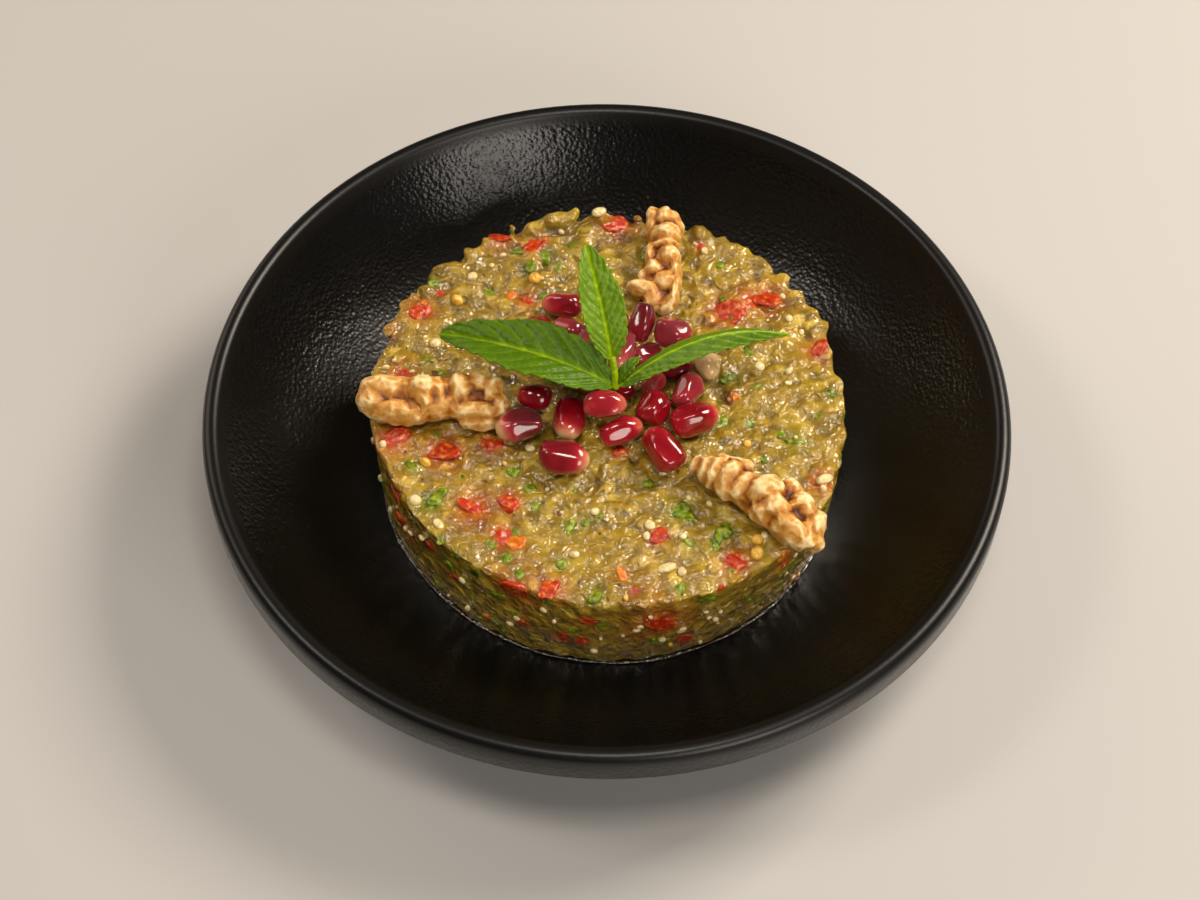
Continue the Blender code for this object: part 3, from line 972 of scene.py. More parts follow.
@dataclass
class MashJuice:
    """The thin ring of oily juice that has run out under the puck."""

    mash: AubergineMash
    width: float = 0.55 * MM
    depth: float = 0.3 * MM
    seed: int = 3

    def build(self) -> bpy.types.Object:
        """Lay an uneven flat ring round the foot of the puck and return it."""
        bpy.ops.object.select_all(action="DESELECT")
        bpy.ops.mesh.primitive_torus_add(
            major_segments=240, minor_segments=12, major_radius=1, minor_radius=0.1)
        ring = bpy.context.object
        ring.name = ring.data.name = "mash_juice"
        points = coordinates(ring.data)
        angle = np.arctan2(points[:, 1], points[:, 0])
        random = np.random.default_rng(self.seed)
        uneven = sum(math.sin(turn) * np.sin(angle * waves + turn) / 3 for waves, turn in
                     zip((5, 9, 14, 23, 37), random.uniform(0, math.tau, 5)))
        out = (np.hypot(points[:, 0], points[:, 1]) - 1) / 0.1
        foot = self.mash.side(angle, np.full(len(angle), self.mash.low)) - 0.2 * MM
        reach = foot + (out * self.width * (1 + uneven * 0.5))
        height = self.mash.low - 0.25 * MM + (points[:, 2] / 0.1 + 1) / 2 * self.depth * (1 + uneven * 0.4)
        reshape(ring.data, np.stack([reach * np.cos(angle), reach * np.sin(angle), height], 1))
        ring.data.shade_smooth()
        finish = MinceFinish("oily_aubergine_juice", "1c1304", "322409", see_through=0.0, gloss=1.0)
        return dressed(ring, finish.build(), Slot.MASH)


# What is chopped into the mash


@dataclass(frozen=True)
class Mince:
    """One kind of bit set into the mash, part of it where it was put and the rest strewn."""

    name: str
    finish: MinceFinish
    half: tuple[float, float, float]    # half length, width and height of the largest, mm
    placed: tuple = ()                  # (x, y, share of the full size) on the top, mm
    sides: tuple = ()                   # (azimuth in degrees, height in mm, share) on the side
    strewn_top: int = 0
    strewn_side: int = 0
    boxy: float = 0.6                   # 1 is an ellipsoid, and less is squarer
    wander: float = 0.15                # how uneven its surface is
    sink: float = 0.3                   # share of its height that lies under the surface
    stain: str = ""                     # the mash's attribute that it stains
    stain_reach: float = 1.3            # how far the stain goes, in half lengths
    stain_depth: float = 0.8


@dataclass
class MinceSetter:
    """Sets bits into the mash where a straight line meets it, and stains the mash around them."""

    mash: AubergineMash
    puck: bpy.types.Object
    seed: int
    strewn_reach: float = 49 * MM
    strewn_share: tuple[float, float] = (0.35, 0.9)    # the strewn bits' sizes, as shares of the full one
    wave: float = 1.7                                  # how quickly a bit's surface rises and falls
    stained: dict[str, Array] = field(default_factory=dict)

    def __post_init__(self) -> None:
        """Lay out a search tree of the puck's surface, and a random source."""
        points = coordinates(self.puck.data)
        faces = [list(face.vertices) for face in self.puck.data.polygons if len(face.vertices) < 9]
        self.surface = BVHTree.FromPolygons([Vector(p) for p in points], faces)
        self.random = np.random.default_rng(self.seed)

    def on_top(self, x: float, y: float) -> tuple[Vector, Vector] | None:
        """Return the surface's point and normal under a place on the top, or None."""
        hit = self.surface.ray_cast(Vector((x, y, 0.08)), -UP)
        return (hit[0], hit[1]) if hit[0] is not None else None

    def on_side(self, angle: float, height: float) -> tuple[Vector, Vector] | None:
        """Find a place on the side.

        Args:
            angle: the angle round the puck.
            height: the height.

        Returns:
            The surface's point and normal, or None.
        """
        out = Vector((math.cos(angle), math.sin(angle), 0))
        hit = self.surface.ray_cast(out * 0.08 + UP * height, -out)
        return (hit[0], hit[1]) if hit[0] is not None else None

    def spots(self, kind: Mince) -> list[tuple[Vector, Vector, float]]:
        """Find a place for each bit of a kind.

        Args:
            kind: the kind.

        Returns:
            Each bit's point, normal and share of the full size.
        """
        found = []
        for x, y, share in kind.placed:
            found.append((self.on_top(x * MM, y * MM), share))
        for azimuth, height, share in kind.sides:
            found.append((self.on_side(math.radians(azimuth), height * MM), share))
        for _ in range(kind.strewn_top):
            angle = self.random.uniform(-math.pi, math.pi)
            reach = self.strewn_reach * math.sqrt(self.random.uniform(0.02, 1))
            spot = self.on_top(reach * math.cos(angle), reach * math.sin(angle))
            found.append((spot, self.random.uniform(*self.strewn_share)))
        for _ in range(kind.strewn_side):
            angle = self.random.uniform(-math.pi, math.pi)
            height = self.random.uniform(self.mash.low + 1.5 * MM, self.mash.high - 1 * MM)
            found.append((self.on_side(angle, height), self.random.uniform(*self.strewn_share)))
        return [(spot[0], spot[1], share) for spot, share in found if spot is not None]

    def set_in(self, kind: Mince) -> bpy.types.Object:
        """Make all the bits of a kind as one piece.

        Args:
            kind: the kind.

        Returns:
            The piece.
        """
        corners, faces = ball(3 if kind.half[0] > 2 else 2)
        spots = self.spots(kind)
        squared = np.sign(corners) * np.abs(corners) ** kind.boxy
        waves = self.random.normal(0, self.wave, (len(spots), 3, 3))
        phase = self.random.uniform(0, math.tau, (len(spots), 3))
        swing = np.einsum("vj,nij->nvi", corners, waves) + phase[:, None, :]
        ripple = np.sin(swing).sum(2) * kind.wander / 3
        bodies = squared[None] * (1 + ripple[:, :, None])
        centres, sizes, turned = [], [], []
        for point, normal, share in spots:
            size = np.array(kind.half) * MM * share * self.random.uniform(0.65, 1.25, 3)
            lean = normal.lerp(UP if normal.z > 0.5 else normal, 0.4).normalized()
            spin = Matrix.Rotation(self.random.uniform(0, math.tau), 3, "Z")
            turned.append(np.array(lean.to_track_quat("Z", "X").to_matrix() @ spin))
            sizes.append(size)
            centres.append(np.array(point) + np.array(lean) * size[2] * (1 - 2 * kind.sink))
        piece = many(kind.name, (bodies, faces), np.array(centres), np.array(sizes), np.array(turned))
        if kind.stain:
            self.spread(kind, np.array(centres), np.array(sizes))
        return dressed(piece, kind.finish.build(), Slot.MASH)

    def spread(self, kind: Mince, centres: Array, sizes: Array) -> None:
        """Stain the mash around each bit, less and less with distance.

        Args:
            kind: the kind, which names the stain.
            centres: the bits' middles.
            sizes: their half sizes.
        """
        points = coordinates(self.puck.data)
        stain = np.zeros(len(points))
        for centre, size in zip(centres, sizes):
            reach = max(size[:2]) * kind.stain_reach
            away = ((points - centre) ** 2).sum(1) / reach ** 2
            stain = np.maximum(stain, np.exp(-away))
        before = self.stained.get(kind.stain, 0)
        paint(self.puck.data, kind.stain, np.maximum(stain * kind.stain_depth, before))
        self.stained[kind.stain] = stain * kind.stain_depth


PEPPER = Mince(
    "red_pepper_bits",
    MinceFinish("roast_red_pepper", "861402", "c03a06", "c8803c", see_through=0.3, gloss=0.4),
    (2.5, 1.7, 0.55),
    placed=((-24, 43.5, 1.0), (-16.5, 40.5, 1.1), (-40, 22.5, 1.3), (30, 27, 1.6), (33.5, 28, 1.2),
            (25, 24, 1.3), (28, 25, 0.9), (-43, 6, 1.0), (-33.5, -13, 1.1), (-26.5, -27, 1.3),
            (-19.5, -25.5, 0.9), (-20.5, -33.5, 1.1), (-10.5, -46, 0.9), (26, -38.5, 1.2),
            (10.5, -33, 0.8), (44, 14, 0.9), (1.5, 48.5, 1.1), (-44, -10.5, 1.2), (-23.5, -11.5, 0.7)),
    sides=((-77, 24, 1.7), (-112, 30, 1.3), (-70, 14, 0.9), (-100, 17, 0.7), (-138, 26, 0.9),
            (-150, 20, 1.0)),
    strewn_top=10, strewn_side=26, boxy=0.8, wander=0.42, sink=0.74, stain="blush", stain_depth=0.7)
ORANGE_PEPPER = Mince(
    "orange_pepper_bits",
    MinceFinish("roast_orange_pepper", "b04a06", "d87c14", "d0a050", see_through=0.3, gloss=0.35),
    (2.2, 1.5, 0.6), placed=((-17.5, -35, 1.0), (3.5, -42, 0.7), (26, 1.5, 0.6)),
    strewn_top=3, strewn_side=4, boxy=0.7, wander=0.4, sink=0.55, stain="blush", stain_depth=0.25)
HERB = Mince(
    "chopped_herb_bits",
    MinceFinish("flat_parsley", "324800", "788e04", "a4a448", see_through=0.15, gloss=0.2),
    (1.5, 1.0, 0.2),
    placed=((-20, 39.5, 1.4), (-14, 39, 1.5), (-17.5, 35, 1.0), (-11, 35.5, 1.0), (-25.5, 28.5, 1.0),
            (-8, 41, 1.0), (-39.5, -17, 1.0), (-35.5, -26, 1.4), (-34, -24.5, 1.1), (-19, -18, 1.2),
            (-15.5, -22, 1.1), (-14, -26, 0.9), (8.5, -20, 1.1), (15, -27, 1.5), (16.5, -28, 1.1),
            (24.5, -31, 1.6), (23, -32.5, 1.2), (22, -35, 1.3), (-7, -31, 1.2), (-19.5, -38.5, 1.2),
            (-17, -42, 1.2), (-1.5, -47, 1.3), (15, -45, 1.3), (24, -5, 1.4), (39, -9.5, 1.2),
            (25.5, 6.5, 1.1), (29.5, 13.5, 1.1), (17, -34.5, 0.9)),
    sides=((-66, 29, 1.4), (-90, 24, 1.4), (-77, 17, 1.2), (-117, 25, 1.2), (-39, 19, 1.0),
            (-132, 26, 1.3)),
    strewn_top=70, strewn_side=80, boxy=0.85, wander=0.7, sink=0.68,
    stain="leafy", stain_reach=1.2, stain_depth=0.55)
PALE_SEED = Mince(
    "aubergine_seeds", MinceFinish("pale_seed_coat", "c9b173", "e6d6a2", see_through=0.4, gloss=0.6),
    (1.2, 1.0, 0.7),
    placed=((-29.5, 32, 1.1), (20.5, 40, 0.9), (-36.5, 14, 1.0), (-38.5, -25.5, 1.2), (-33.5, -31, 1.0),
            (-6, -37.5, 0.9), (9, -30.5, 1.0), (12.5, -40, 1.4), (44.5, -18.5, 1.4), (21, -25, 0.8),
            (-46, -12, 1.0), (-2.5, 48.5, 1.2), (15.5, -41, 0.9)),
    strewn_top=36, strewn_side=90, boxy=0.95, wander=0.12, sink=0.35)
YELLOW_SEED = Mince(
    "mustard_seeds", MinceFinish("yellow_seed_coat", "d59a2c", "f0c050", see_through=0.3, gloss=0.8),
    (1.25, 1.15, 1.0),
    placed=((-16, 31.5, 1.1), (-32.5, 25.5, 1.1), (-37, -16, 0.9), (29, -10, 1.0), (30.5, -33.5, 1.2),
            (30.5, -36.5, 1.2)),
    strewn_top=6, strewn_side=8, boxy=1.0, wander=0.05, sink=0.35)
CHAR = Mince(
    "charred_skin_flecks", MinceFinish("charred_aubergine_skin", "2c1808", "6a4318", see_through=0.0),
    (0.7, 0.45, 0.2), placed=((25.5, 1.5, 2.0),),
    strewn_top=40, strewn_side=40, boxy=0.8, wander=0.5, sink=0.4)


# Walnuts


@dataclass(frozen=True)
class Lobe:
    """One fold of a kernel, in millimetres: where it is along, across and up, its half sizes and turn."""

    along: float
    across: float
    up: float
    half_length: float
    half_width: float
    half_height: float
    turn: float = 0


@dataclass(frozen=True)
class WalnutPiece:
    """A broken walnut half: its folds, run together."""

    name: str
    node: str
    heading: float
    lobes: tuple[Lobe, ...]
    planes: int = 750
    swell: float = 1.3                # how much the folds' half sizes are enlarged
    voxel: float = 0.3 * MM
    fold_size: float = 2.8 * MM
    fold_depth: float = 1.0 * MM
    grain_size: float = 1.0 * MM
    grain_depth: float = 0.22 * MM
    lower: float = 0.3 * MM           # how far its underside lies below its node's

    def build(self, finish: bpy.types.Material) -> bpy.types.Object:
        """Run the folds together in the box of the node, and crease them.

        Args:
            finish: the kernel's material.

        Returns:
            The piece.
        """
        low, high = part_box(self.node)
        middle = (low + high) / 2
        heading = math.radians(self.heading)
        spots = np.array([(lobe.along, lobe.across, lobe.up) for lobe in self.lobes]) * MM
        halves = [(lobe.half_length, lobe.half_width, lobe.half_height) for lobe in self.lobes]
        sizes = np.array(halves) * MM * self.swell
        angles = np.radians([lobe.turn for lobe in self.lobes])
        piece = many(self.name, ball(3), spots, sizes, turns(angles, np.zeros(len(angles))))
        apply_modifier(piece, "REMESH", mode="VOXEL", voxel_size=self.voxel)
        reshape(piece.data, softened(piece.data, 4))
        roughen(piece, "CLOUDS", self.fold_size, self.fold_depth)
        # Few large triangles, softened at their edges, give the kernel's broken planes and ridges.
        apply_modifier(piece, "DECIMATE", ratio=self.planes / len(piece.data.polygons) / 2)
        apply_modifier(piece, "SUBSURF", subdivision_type="SIMPLE", levels=3)
        reshape(piece.data, softened(piece.data, 4))
        roughen(piece, "CLOUDS", self.grain_size, self.grain_depth)
        points = coordinates(piece.data)
        cos, sin = math.cos(heading), math.sin(heading)
        x, y = points[:, 0] * cos - points[:, 1] * sin, points[:, 0] * sin + points[:, 1] * cos
        shift = middle - Vector(((x.min() + x.max()) / 2, (y.min() + y.max()) / 2, 0))
        heights = points[:, 2] - points[:, 2].min() + low.z - self.lower
        points = np.stack([x + shift.x, y + shift.y, heights], 1)
        reshape(piece.data, points)
        piece.data.shade_smooth()
        # Proud ridges are painted pale and folds brown: partly the skin's own colour, partly painted
        # highlight and painted shade.
        proud = standing_proud(piece.data, 50)
        paint(piece.data, "ridge", np.clip(0.45 + proud / (0.55 * MM), 0, 1))
        return dressed(piece, finish, Slot.WALNUT, self.node)


WALNUTS = (
    WalnutPiece("walnut_half_left", "walnut_left", -4, (
        Lobe(-10.9, 0.6, 5.0, 4.0, 2.2, 2.4, 3), Lobe(-13.0, -1.2, 3.6, 2.6, 2.8, 2.8),
        Lobe(-6.6, 1.0, 4.6, 1.9, 2.0, 2.0), Lobe(-2.8, 1.0, 5.4, 2.5, 2.5, 2.5, -10),
        Lobe(-2.0, -0.9, 4.9, 1.4, 1.8, 1.8, 20), Lobe(0.4, 1.4, 4.9, 1.2, 2.6, 2.0, 15),
        Lobe(2.2, 2.0, 4.6, 1.8, 1.7, 1.8), Lobe(4.8, 2.4, 5.4, 2.1, 2.3, 2.3, 20),
        Lobe(3.8, 0.8, 4.9, 1.0, 1.8, 1.6, 30), Lobe(8.3, 3.4, 5.2, 2.0, 1.8, 2.0),
        Lobe(11.6, 2.6, 4.5, 1.7, 2.5, 2.2, -15), Lobe(-9.0, -3.4, 2.8, 5.0, 1.9, 2.4, -4),
        Lobe(-5.0, -3.6, 2.6, 3.2, 1.6, 2.0), Lobe(-0.5, -1.8, 2.8, 4.6, 2.0, 2.2, 6),
        Lobe(9.0, -2.4, 3.0, 5.0, 1.6, 2.4, 4), Lobe(13.2, -0.6, 3.4, 1.5, 2.3, 2.2),
        Lobe(9.5, -3.8, 2.0, 3.6, 1.4, 1.6, 10), Lobe(0.5, 0.0, 2.8, 12.0, 2.9, 2.3))),
    WalnutPiece("walnut_half_back", "walnut_back", -93, (
        Lobe(-10.8, -2.4, 4.6, 1.7, 1.3, 1.7), Lobe(-10.2, 0.0, 5.0, 1.9, 1.5, 2.2),
        Lobe(-10.4, 2.2, 4.4, 1.5, 1.4, 1.7), Lobe(-8.6, 3.2, 3.6, 1.9, 1.2, 1.9),
        Lobe(-8.2, -2.6, 3.4, 2.2, 1.0, 2.2), Lobe(-5.2, 0.8, 4.8, 2.2, 2.7, 2.8),
        Lobe(-5.6, 2.4, 5.2, 1.3, 0.9, 1.5, 20), Lobe(-2.4, 0.8, 4.6, 0.8, 2.6, 2.3, 8),
        Lobe(0.6, 2.0, 4.9, 1.9, 1.9, 2.4), Lobe(0.2, 0.6, 4.5, 1.7, 1.2, 1.9),
        Lobe(3.8, 3.2, 4.5, 1.6, 1.3, 1.9), Lobe(-0.8, -2.4, 3.6, 2.2, 0.9, 1.9),
        Lobe(3.4, -1.4, 3.6, 1.7, 1.5, 2.1, 20), Lobe(4.4, -3.6, 2.8, 1.1, 0.9, 1.4),
        Lobe(6.4, 1.6, 3.4, 2.2, 2.4, 2.2), Lobe(9.2, 3.4, 3.6, 4.2, 0.9, 2.1, -8),
        Lobe(12.0, 2.4, 3.0, 2.2, 1.3, 1.8, -25), Lobe(8.4, -3.6, 3.4, 1.4, 2.8, 2.0, -10),
        Lobe(10.4, -1.0, 2.6, 1.9, 1.7, 1.6), Lobe(9.0, 0.8, 2.0, 2.6, 2.0, 1.4),
        Lobe(0.0, 0.2, 2.4, 10.8, 2.6, 2.1))),
    WalnutPiece("walnut_half_right", "walnut_right", -40, (
        Lobe(-14.4, -0.4, 2.4, 1.6, 1.8, 1.8), Lobe(-12.2, -0.4, 3.2, 1.8, 2.4, 2.4, 15),
        Lobe(-10.2, -0.2, 3.8, 1.5, 2.8, 2.8, 10), Lobe(-7.4, 0.6, 4.4, 1.7, 2.6, 3.0),
        Lobe(-6.8, -1.6, 3.4, 2.0, 1.8, 2.2), Lobe(-9.6, 4.2, 4.0, 2.9, 0.7, 1.2, 18),
        Lobe(-6.6, 4.4, 3.2, 1.6, 1.8, 1.8), Lobe(-3.8, 0.8, 3.8, 1.8, 2.9, 2.9, -5),
        Lobe(-1.8, 1.2, 3.2, 1.6, 2.2, 2.2), Lobe(0.6, 2.2, 4.9, 2.6, 3.2, 3.1, -20),
        Lobe(2.2, 3.2, 5.1, 1.6, 2.0, 2.5), Lobe(4.4, 0.4, 4.7, 2.6, 2.2, 2.8),
        Lobe(3.0, -1.6, 3.6, 2.6, 1.8, 2.2), Lobe(6.6, 2.8, 4.9, 1.9, 0.8, 1.3, 60),
        Lobe(6.2, 0.4, 5.1, 1.0, 1.2, 1.4), Lobe(9.0, -1.0, 3.4, 4.6, 2.2, 2.8, -6),
        Lobe(12.8, 0.6, 4.2, 2.7, 0.9, 1.6, -45), Lobe(3.4, 7.2, 3.6, 1.8, 1.5, 1.7, -10),
        Lobe(3.8, 5.4, 2.6, 1.4, 2.0, 1.6), Lobe(8.0, 5.2, 4.0, 2.4, 1.9, 2.2, -10),
        Lobe(9.8, 4.4, 3.8, 1.6, 1.6, 1.8), Lobe(12.6, 3.6, 3.2, 1.4, 2.6, 2.4, 20),
        Lobe(14.6, 0.6, 2.2, 1.5, 1.9, 1.8), Lobe(2.5, 1.0, 2.4, 11.0, 3.0, 2.2))),
)


# Pomegranate


@dataclass
class PomegranateArils:
    """The arils: each is shaped from a ball to the place, length and width of its own solid."""

    seed: int = 11
    facets: int = 9
    facet_reach: float = 0.84
    facet_give: float = 0.8
    taper: float = 0.30
    fullness: float = 1.30
    bluntness: float = 0.06
    # The side towards this is painted lighter: painted light, as if gathered through the aril.
    lit_through: tuple[float, float, float] = (-0.5, -0.5, -0.4)    # where the light from behind gathers
    lit_share: float = 0.16
    veil_share: float = 0.5
    # How pale each one is at its tip and over all, and how much painted sheen veils it, in the order of the
    # nodes.
    looks: tuple = (
        (0.75, 0.42, 0.1), (0.5, 0.35, 0.4), (0.55, 0.45, 0.0), (0.3, 0.25, 0.15), (0.6, 0.5, 0.3),
        (0.55, 0.36, 0.45), (0.8, 0.42, 0.6), (0.6, 0.38, 0.6), (0.5, 0.4, 0.3), (0.6, 0.4, 0.4),
        (0.3, 0.22, 0.0), (1.15, 1.1, 0.0), (0.9, 0.6, 0.2), (0.95, 0.42, 0.3), (0.45, 0.36, 0.0),
        (0.9, 0.36, 0.0), (0.7, 0.4, 0.0), (0.98, 0.42, 0.0), (0.9, 0.45, 0.15), (0.9, 0.32, 0.0),
        (1.0, 0.22, 0.3), (1.0, 0.28, 0.1), (0.5, 0.3, 0.0), (0.4, 0.25, 0.0), (0.4, 0.3, 0.0))

    @staticmethod
    def pose(node: bpy.types.Object) -> tuple[Array, Array, Array]:
        """Find how an aril's solid lies.

        Args:
            node: the solid.

        Returns:
            Its middle, its axes (the one to the tip first) and its half sizes.
        """
        points = coordinates(node.data)
        middle = (points.min(0) + points.max(0)) / 2
        spread = points - points.mean(0)
        _, axes = np.linalg.eigh(spread.T @ spread)
        axes = axes[:, ::-1].T.copy()
        along = spread @ axes[0]
        cross = np.linalg.norm(spread - np.outer(along, axes[0]), axis=1)
        if cross[along > 0.3 * along.max()].mean() > cross[along < 0.3 * along.min()].mean():
            axes[0] *= -1
        if axes[2][2] < 0:
            axes[2] *= -1
        axes[1] = np.cross(axes[2], axes[0])
        reach = (points - middle) @ axes.T
        half = (reach.max(0) - reach.min(0)) / 2
        middle = middle + ((reach.max(0) + reach.min(0)) / 2) @ axes
        return middle, axes, half

    def build(self) -> list[bpy.types.Object]:
        """Return one piece for each aril's node."""
        random = np.random.default_rng(self.seed)
        finish = ArilFlesh().build()
        made = []
        for number, (tip_glow, body_glow, veil) in enumerate(self.looks, start=1):
            node = f"pomegranate_{number:02}"
            middle, axes, half = self.pose(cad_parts[node])
            bpy.ops.object.select_all(action="DESELECT")
            bpy.ops.mesh.primitive_uv_sphere_add(segments=32, ring_count=20, radius=1)
            aril = bpy.context.object
            aril.name = aril.data.name = f"aril_{number:02}"
            points = coordinates(aril.data)[:, [2, 1, 0]] * (1, 1, -1)
            along = points[:, 0]
            blunt = np.maximum(1 - along ** 2, 1e-4) ** -self.bluntness
            slim = (1 - self.taper * (along + 1) / 2) * blunt
            points[:, 1:] *= slim[:, None] * self.fullness
            for _ in range(self.facets):
                around = random.uniform(0, math.tau)
                facing = np.array([random.uniform(-0.45, 0.45), math.cos(around), math.sin(around)])
                facing /= np.linalg.norm(facing)
                over = np.maximum(points @ facing - self.facet_reach, 0)
                points -= np.outer(over * self.facet_give, facing)
            tip = np.clip((along - 0.05) / 0.95, 0, 1) ** 1.3
            # Paler towards the tip, as the aril really is, plus painted light where light from behind would
            # gather.
            reached = ((points * half) @ axes) @ self.lit_through / half.mean()
            paint(aril.data, "glow", body_glow + (tip_glow - body_glow) * tip + self.lit_share * reached)
            # Each aril's painted sheen, the same all over it.
            paint(aril.data, "veil", np.full(len(along), veil * self.veil_share))
            reshape(aril.data, middle + (points * half) @ axes)
            aril.data.shade_smooth()
            made.append(dressed(aril, finish, Slot.ARIL, node))
        return made


# Mint


@dataclass(frozen=True)
class Leaf:
    """A leaf on a curved rib, in millimetres and degrees."""

    base: tuple[float, float, float]
    middle: tuple[float, float, float]
    tip: tuple[float, float, float]
    half_width: float
    fold: float
    roll: float = 0
    veins: int = 8
    teeth: int = 11
    pale: float = 0.0


@dataclass
class MintSprig:
    """The sprig: its leaves, quilted and toothed, on a short stem, a round tube here though mint's is
    square.
    """

    rows: int = 96
    columns: int = 44
    thickness: float = 0.35 * MM
    stalk_radius: float = 0.72 * MM
    leaves: tuple[Leaf, ...] = (
        Leaf((1.0, -2.8, 42.0), (-15.0, 2.5, 45.5), (-35.5, 12.5, 38.5), 7.3, 12),
        Leaf((0.8, 0.3, 46.6), (-1.5, 9.0, 53.0), (-5.0, 20.0, 59.0), 4.9, 18, pale=0.16),
        Leaf((2.2, -3.0, 41.8), (19.0, 5.5, 47.0), (37.5, 12.0, 41.0), 3.9, -42, pale=0.06),
        Leaf((2.0, -2.5, 42.4), (4.2, -0.6, 45.0), (6.5, 1.5, 46.0), 1.6, 15, -20, veins=4, teeth=4),
    )
    stem: tuple = ((1.6, -3.0, 41.0), (1.5, -1.6, 43.6), (1.2, -0.5, 45.3), (0.8, 0.6, 47.0))

    def blade(self, leaf: Leaf, name: str) -> bpy.types.Object:
        """Lay a grid on a leaf's rib, with its teeth, folds, veins and quilting.

        Args:
            leaf: the leaf.
            name: its mesh's name.

        Returns:
            The leaf.
        """
        bpy.ops.object.select_all(action="DESELECT")
        bpy.ops.mesh.primitive_grid_add(x_subdivisions=self.rows, y_subdivisions=self.columns, size=2)
        blade = bpy.context.object
        blade.name = name
        grid = coordinates(blade.data)
        share, side = (grid[:, 0] + 1) / 2, grid[:, 1]
        base, middle, tip = (np.array(point) * MM for point in (leaf.base, leaf.middle, leaf.tip))
        bend = 2 * middle - (base + tip) / 2
        t = share[:, None]
        rib = base * (1 - t) ** 2 + bend * 2 * t * (1 - t) + tip * t ** 2
        ahead = (bend - base) * (1 - t) + (tip - bend) * t
        ahead /= np.linalg.norm(ahead, axis=1)[:, None]
        across = np.cross((0, 0, 1), ahead)
        across /= np.linalg.norm(across, axis=1)[:, None]
        roll = math.radians(leaf.roll)
        across = across * math.cos(roll) + np.cross(ahead, across) * math.sin(roll)
        above = np.cross(ahead, across)
        body = np.sin(math.pi * np.clip(share, 1e-4, 0.9999) ** 0.88) ** 0.62
        slant = share * leaf.teeth - np.abs(side) * 0.15
        tooth = 1 - 0.10 * (slant % 1) * np.abs(side) ** 3
        half = leaf.half_width * MM
        reach = side * half * body * tooth
        tilt = math.radians(leaf.fold)
        # The veins leave the rib in pairs and curve towards the tip; the blade puffs up between them.
        line = (share - 0.30 * np.abs(side) ** 1.25 * (1 - 0.3 * share)) * (leaf.veins + 1)
        vein = np.abs((line % 1) - 0.5) * 2
        inside = np.clip(body * 1.6, 0, 1)
        quilt = (1 - vein ** 3) * inside * np.clip(np.abs(side) * 6, 0, 1)
        rib_line = np.exp(-(side * body / 0.07) ** 2)
        wave = 0.05 * half * np.sin(share * 17 + np.sign(side) * 1.3) * np.abs(side) ** 2
        lift = 0.065 * half * quilt - 0.05 * half * rib_line + wave
        points = rib + across * (reach * math.cos(tilt))[:, None]
        points += above * (np.abs(reach) * math.sin(tilt) + lift)[:, None]
        reshape(blade.data, points)
        shade = 0.37 + 0.2 * vein ** 6 * inside + 0.46 * rib_line + leaf.pale + 0.08 * np.abs(side) ** 6
        paint(blade.data, "vein", np.clip(shade, 0, 1))
        apply_modifier(blade, "SOLIDIFY", thickness=self.thickness, offset=-1)
        return blade

    def stalk(self) -> bpy.types.Object:
        """Return the short stem as a mesh tube."""
        curve = bpy.data.curves.new("stalk", "CURVE")
        curve.dimensions = "3D"
        curve.bevel_depth = self.stalk_radius
        curve.bevel_resolution = 4
        curve.use_fill_caps = True
        spline = curve.splines.new("NURBS")
        spline.points.add(len(self.stem) - 1)
        for point, place in zip(spline.points, self.stem):
            point.co = (*(Vector(place) * MM), 1)
        spline.use_endpoint_u = True
        spline.order_u = 3
        stalk = bpy.data.objects.new("stalk", curve)
        bpy.context.scene.collection.objects.link(stalk)
        only(stalk)
        bpy.ops.object.convert(target="MESH")
        bpy.ops.object.mode_set(mode="EDIT")
        bpy.ops.mesh.select_all(action="SELECT")
        bpy.ops.mesh.remove_doubles(threshold=0.005 * MM)
        bpy.ops.mesh.normals_make_consistent(inside=False)
        bpy.ops.object.mode_set(mode="OBJECT")
        stalk = bpy.context.object
        paint(stalk.data, "vein", np.full(len(stalk.data.vertices), 0.85))
        return stalk

    def build(self) -> bpy.types.Object:
        """Join the leaves and the stem and return the sprig."""
        blades = [self.blade(leaf, f"leaf_{number}") for number, leaf in enumerate(self.leaves, start=1)]
        sprig = joined([*blades, self.stalk()])
        sprig.name = sprig.data.name = "mint_sprig_leaves"
        sprig.data.shade_smooth()
        return dressed(sprig, MintBlade().build(), Slot.MINT, "mint_sprig")


# Studio


@dataclass(frozen=True)
class Lamp:
    """A square soft light: its place in metres, the length of its side, its power and its colour."""

    name: str
    place: tuple[float, float, float]
    size: float
    power: float
    colour: str


LAMPS = (
    Lamp("key_back_right", (0.50, 0.30, 0.60), 0.32, 7.1, "fff1df"),
    Lamp("back_soft", (-0.58, 0.44, 0.42), 0.45, 1.5, "ffe6d0"),
    Lamp("fill_front_right", (0.40, -0.62, 0.42), 0.36, 2.9, "fff6ec"),
    Lamp("spark_top", (0.05, -0.2, 0.8), 0.20, 2.1, "fff4e4"),
    Lamp("spark_left", (-0.45, 0.0, 0.65), 0.18, 1.3, "fff6ea"),
)


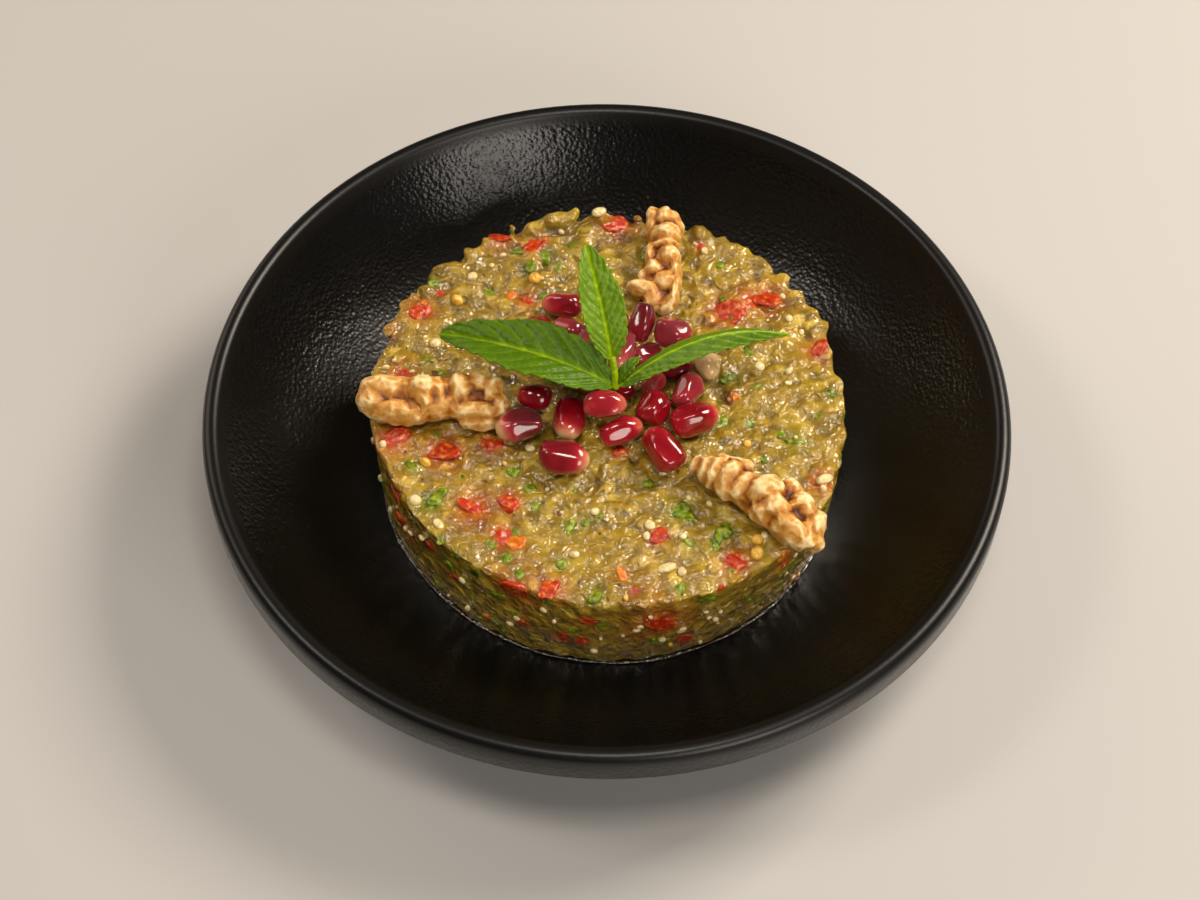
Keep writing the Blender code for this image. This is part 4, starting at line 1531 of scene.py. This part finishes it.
@dataclass
class Studio:
    """The plain floor, the soft lights and the camera."""

    rim: Vector
    floor_size: float = 6
    floor_colour: str = "b6b5b4"
    room_colour: str = "f0e6d8"
    room_light: float = 0.09
    elevation: float = 54.16
    distance: float = 499 * MM
    aim: tuple[float, float] = (-1.3 * MM, -12.8 * MM)
    roll: float = 0.8
    lens: float = 72.0

    def camera(self) -> None:
        """Look down on the bowl from its near side."""
        data = bpy.data.cameras.new("camera")
        data.lens = self.lens
        data.sensor_width = 36.0
        camera = bpy.data.objects.new("camera", data)
        bpy.context.scene.collection.objects.link(camera)
        rise = math.radians(self.elevation)
        place = self.rim + Vector((0, -math.cos(rise), math.sin(rise))) * self.distance
        ahead = (self.rim + Vector((*self.aim, 0)) - place).normalized()
        right = ahead.cross(UP).normalized()
        top = right.cross(ahead)
        lean = math.radians(self.roll)
        side = right * math.cos(lean) + top * math.sin(lean)
        top = top * math.cos(lean) - right * math.sin(lean)
        turn = Matrix((side, top, -ahead)).transposed()
        camera.matrix_world = Matrix.Translation(place) @ turn.to_4x4()
        bpy.context.scene.camera = camera

    def light(self, lamp: Lamp) -> None:
        """Hang a lamp that faces the bowl.

        Args:
            lamp: the lamp.
        """
        data = bpy.data.lights.new(lamp.name, "AREA")
        data.size = lamp.size
        data.energy = lamp.power
        data.color = linear(lamp.colour)[:3]
        hung = bpy.data.objects.new(lamp.name, data)
        bpy.context.scene.collection.objects.link(hung)
        hung.location = lamp.place
        hung.rotation_euler = (Vector((0, 0, 0.03)) - hung.location).to_track_quat("-Z", "Y").to_euler()

    def floor(self) -> None:
        """Lay the plain pale floor."""
        bpy.ops.object.select_all(action="DESELECT")
        bpy.ops.mesh.primitive_plane_add(size=self.floor_size)
        floor = bpy.context.object
        floor.name = "studio_floor"
        material, tree = new_material("pale_backdrop_paper")
        shader = add_node(
            tree, "ShaderNodeBsdfPrincipled",
            {"Base Color": linear(self.floor_colour), "Roughness": 0.8, "Specular IOR Level": 0.2})
        finish_material(tree, shader)
        floor.data.materials.append(material)

    def build(self) -> None:
        """Set up the whole studio."""
        world = bpy.data.worlds.new("studio_world")
        world.use_nodes = True
        room = world.node_tree.nodes["Background"]
        room.inputs["Color"].default_value = linear(self.room_colour)
        room.inputs["Strength"].default_value = self.room_light
        bpy.context.scene.world = world
        bpy.context.scene.view_settings.view_transform = "Standard"
        self.floor()
        for lamp in LAMPS:
            self.light(lamp)
        self.camera()


def main() -> None:
    """Build every piece and report it."""
    logging.basicConfig(level=logging.INFO, format="%(name)s %(message)s")
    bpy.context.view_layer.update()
    low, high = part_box("bowl")
    Studio(rim=Vector((0, 0, high.z))).build()
    puck_low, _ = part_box("baba_ganoush")
    StonewareBowl(radius=high.x, height=high.z, floor_top=puck_low.z - 0.3 * MM).build()
    mash = AubergineMash(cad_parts["baba_ganoush"])
    puck = mash.build()
    MashJuice(mash).build()
    setter = MinceSetter(mash, puck, seed=5)
    for kind in (PEPPER, ORANGE_PEPPER, HERB, PALE_SEED, YELLOW_SEED, CHAR):
        setter.set_in(kind)
    kernel = WalnutKernel().build()
    for walnut in WALNUTS:
        walnut.build(kernel)
    PomegranateArils().build()
    MintSprig().build()


if __name__ == "__main__":
    main()
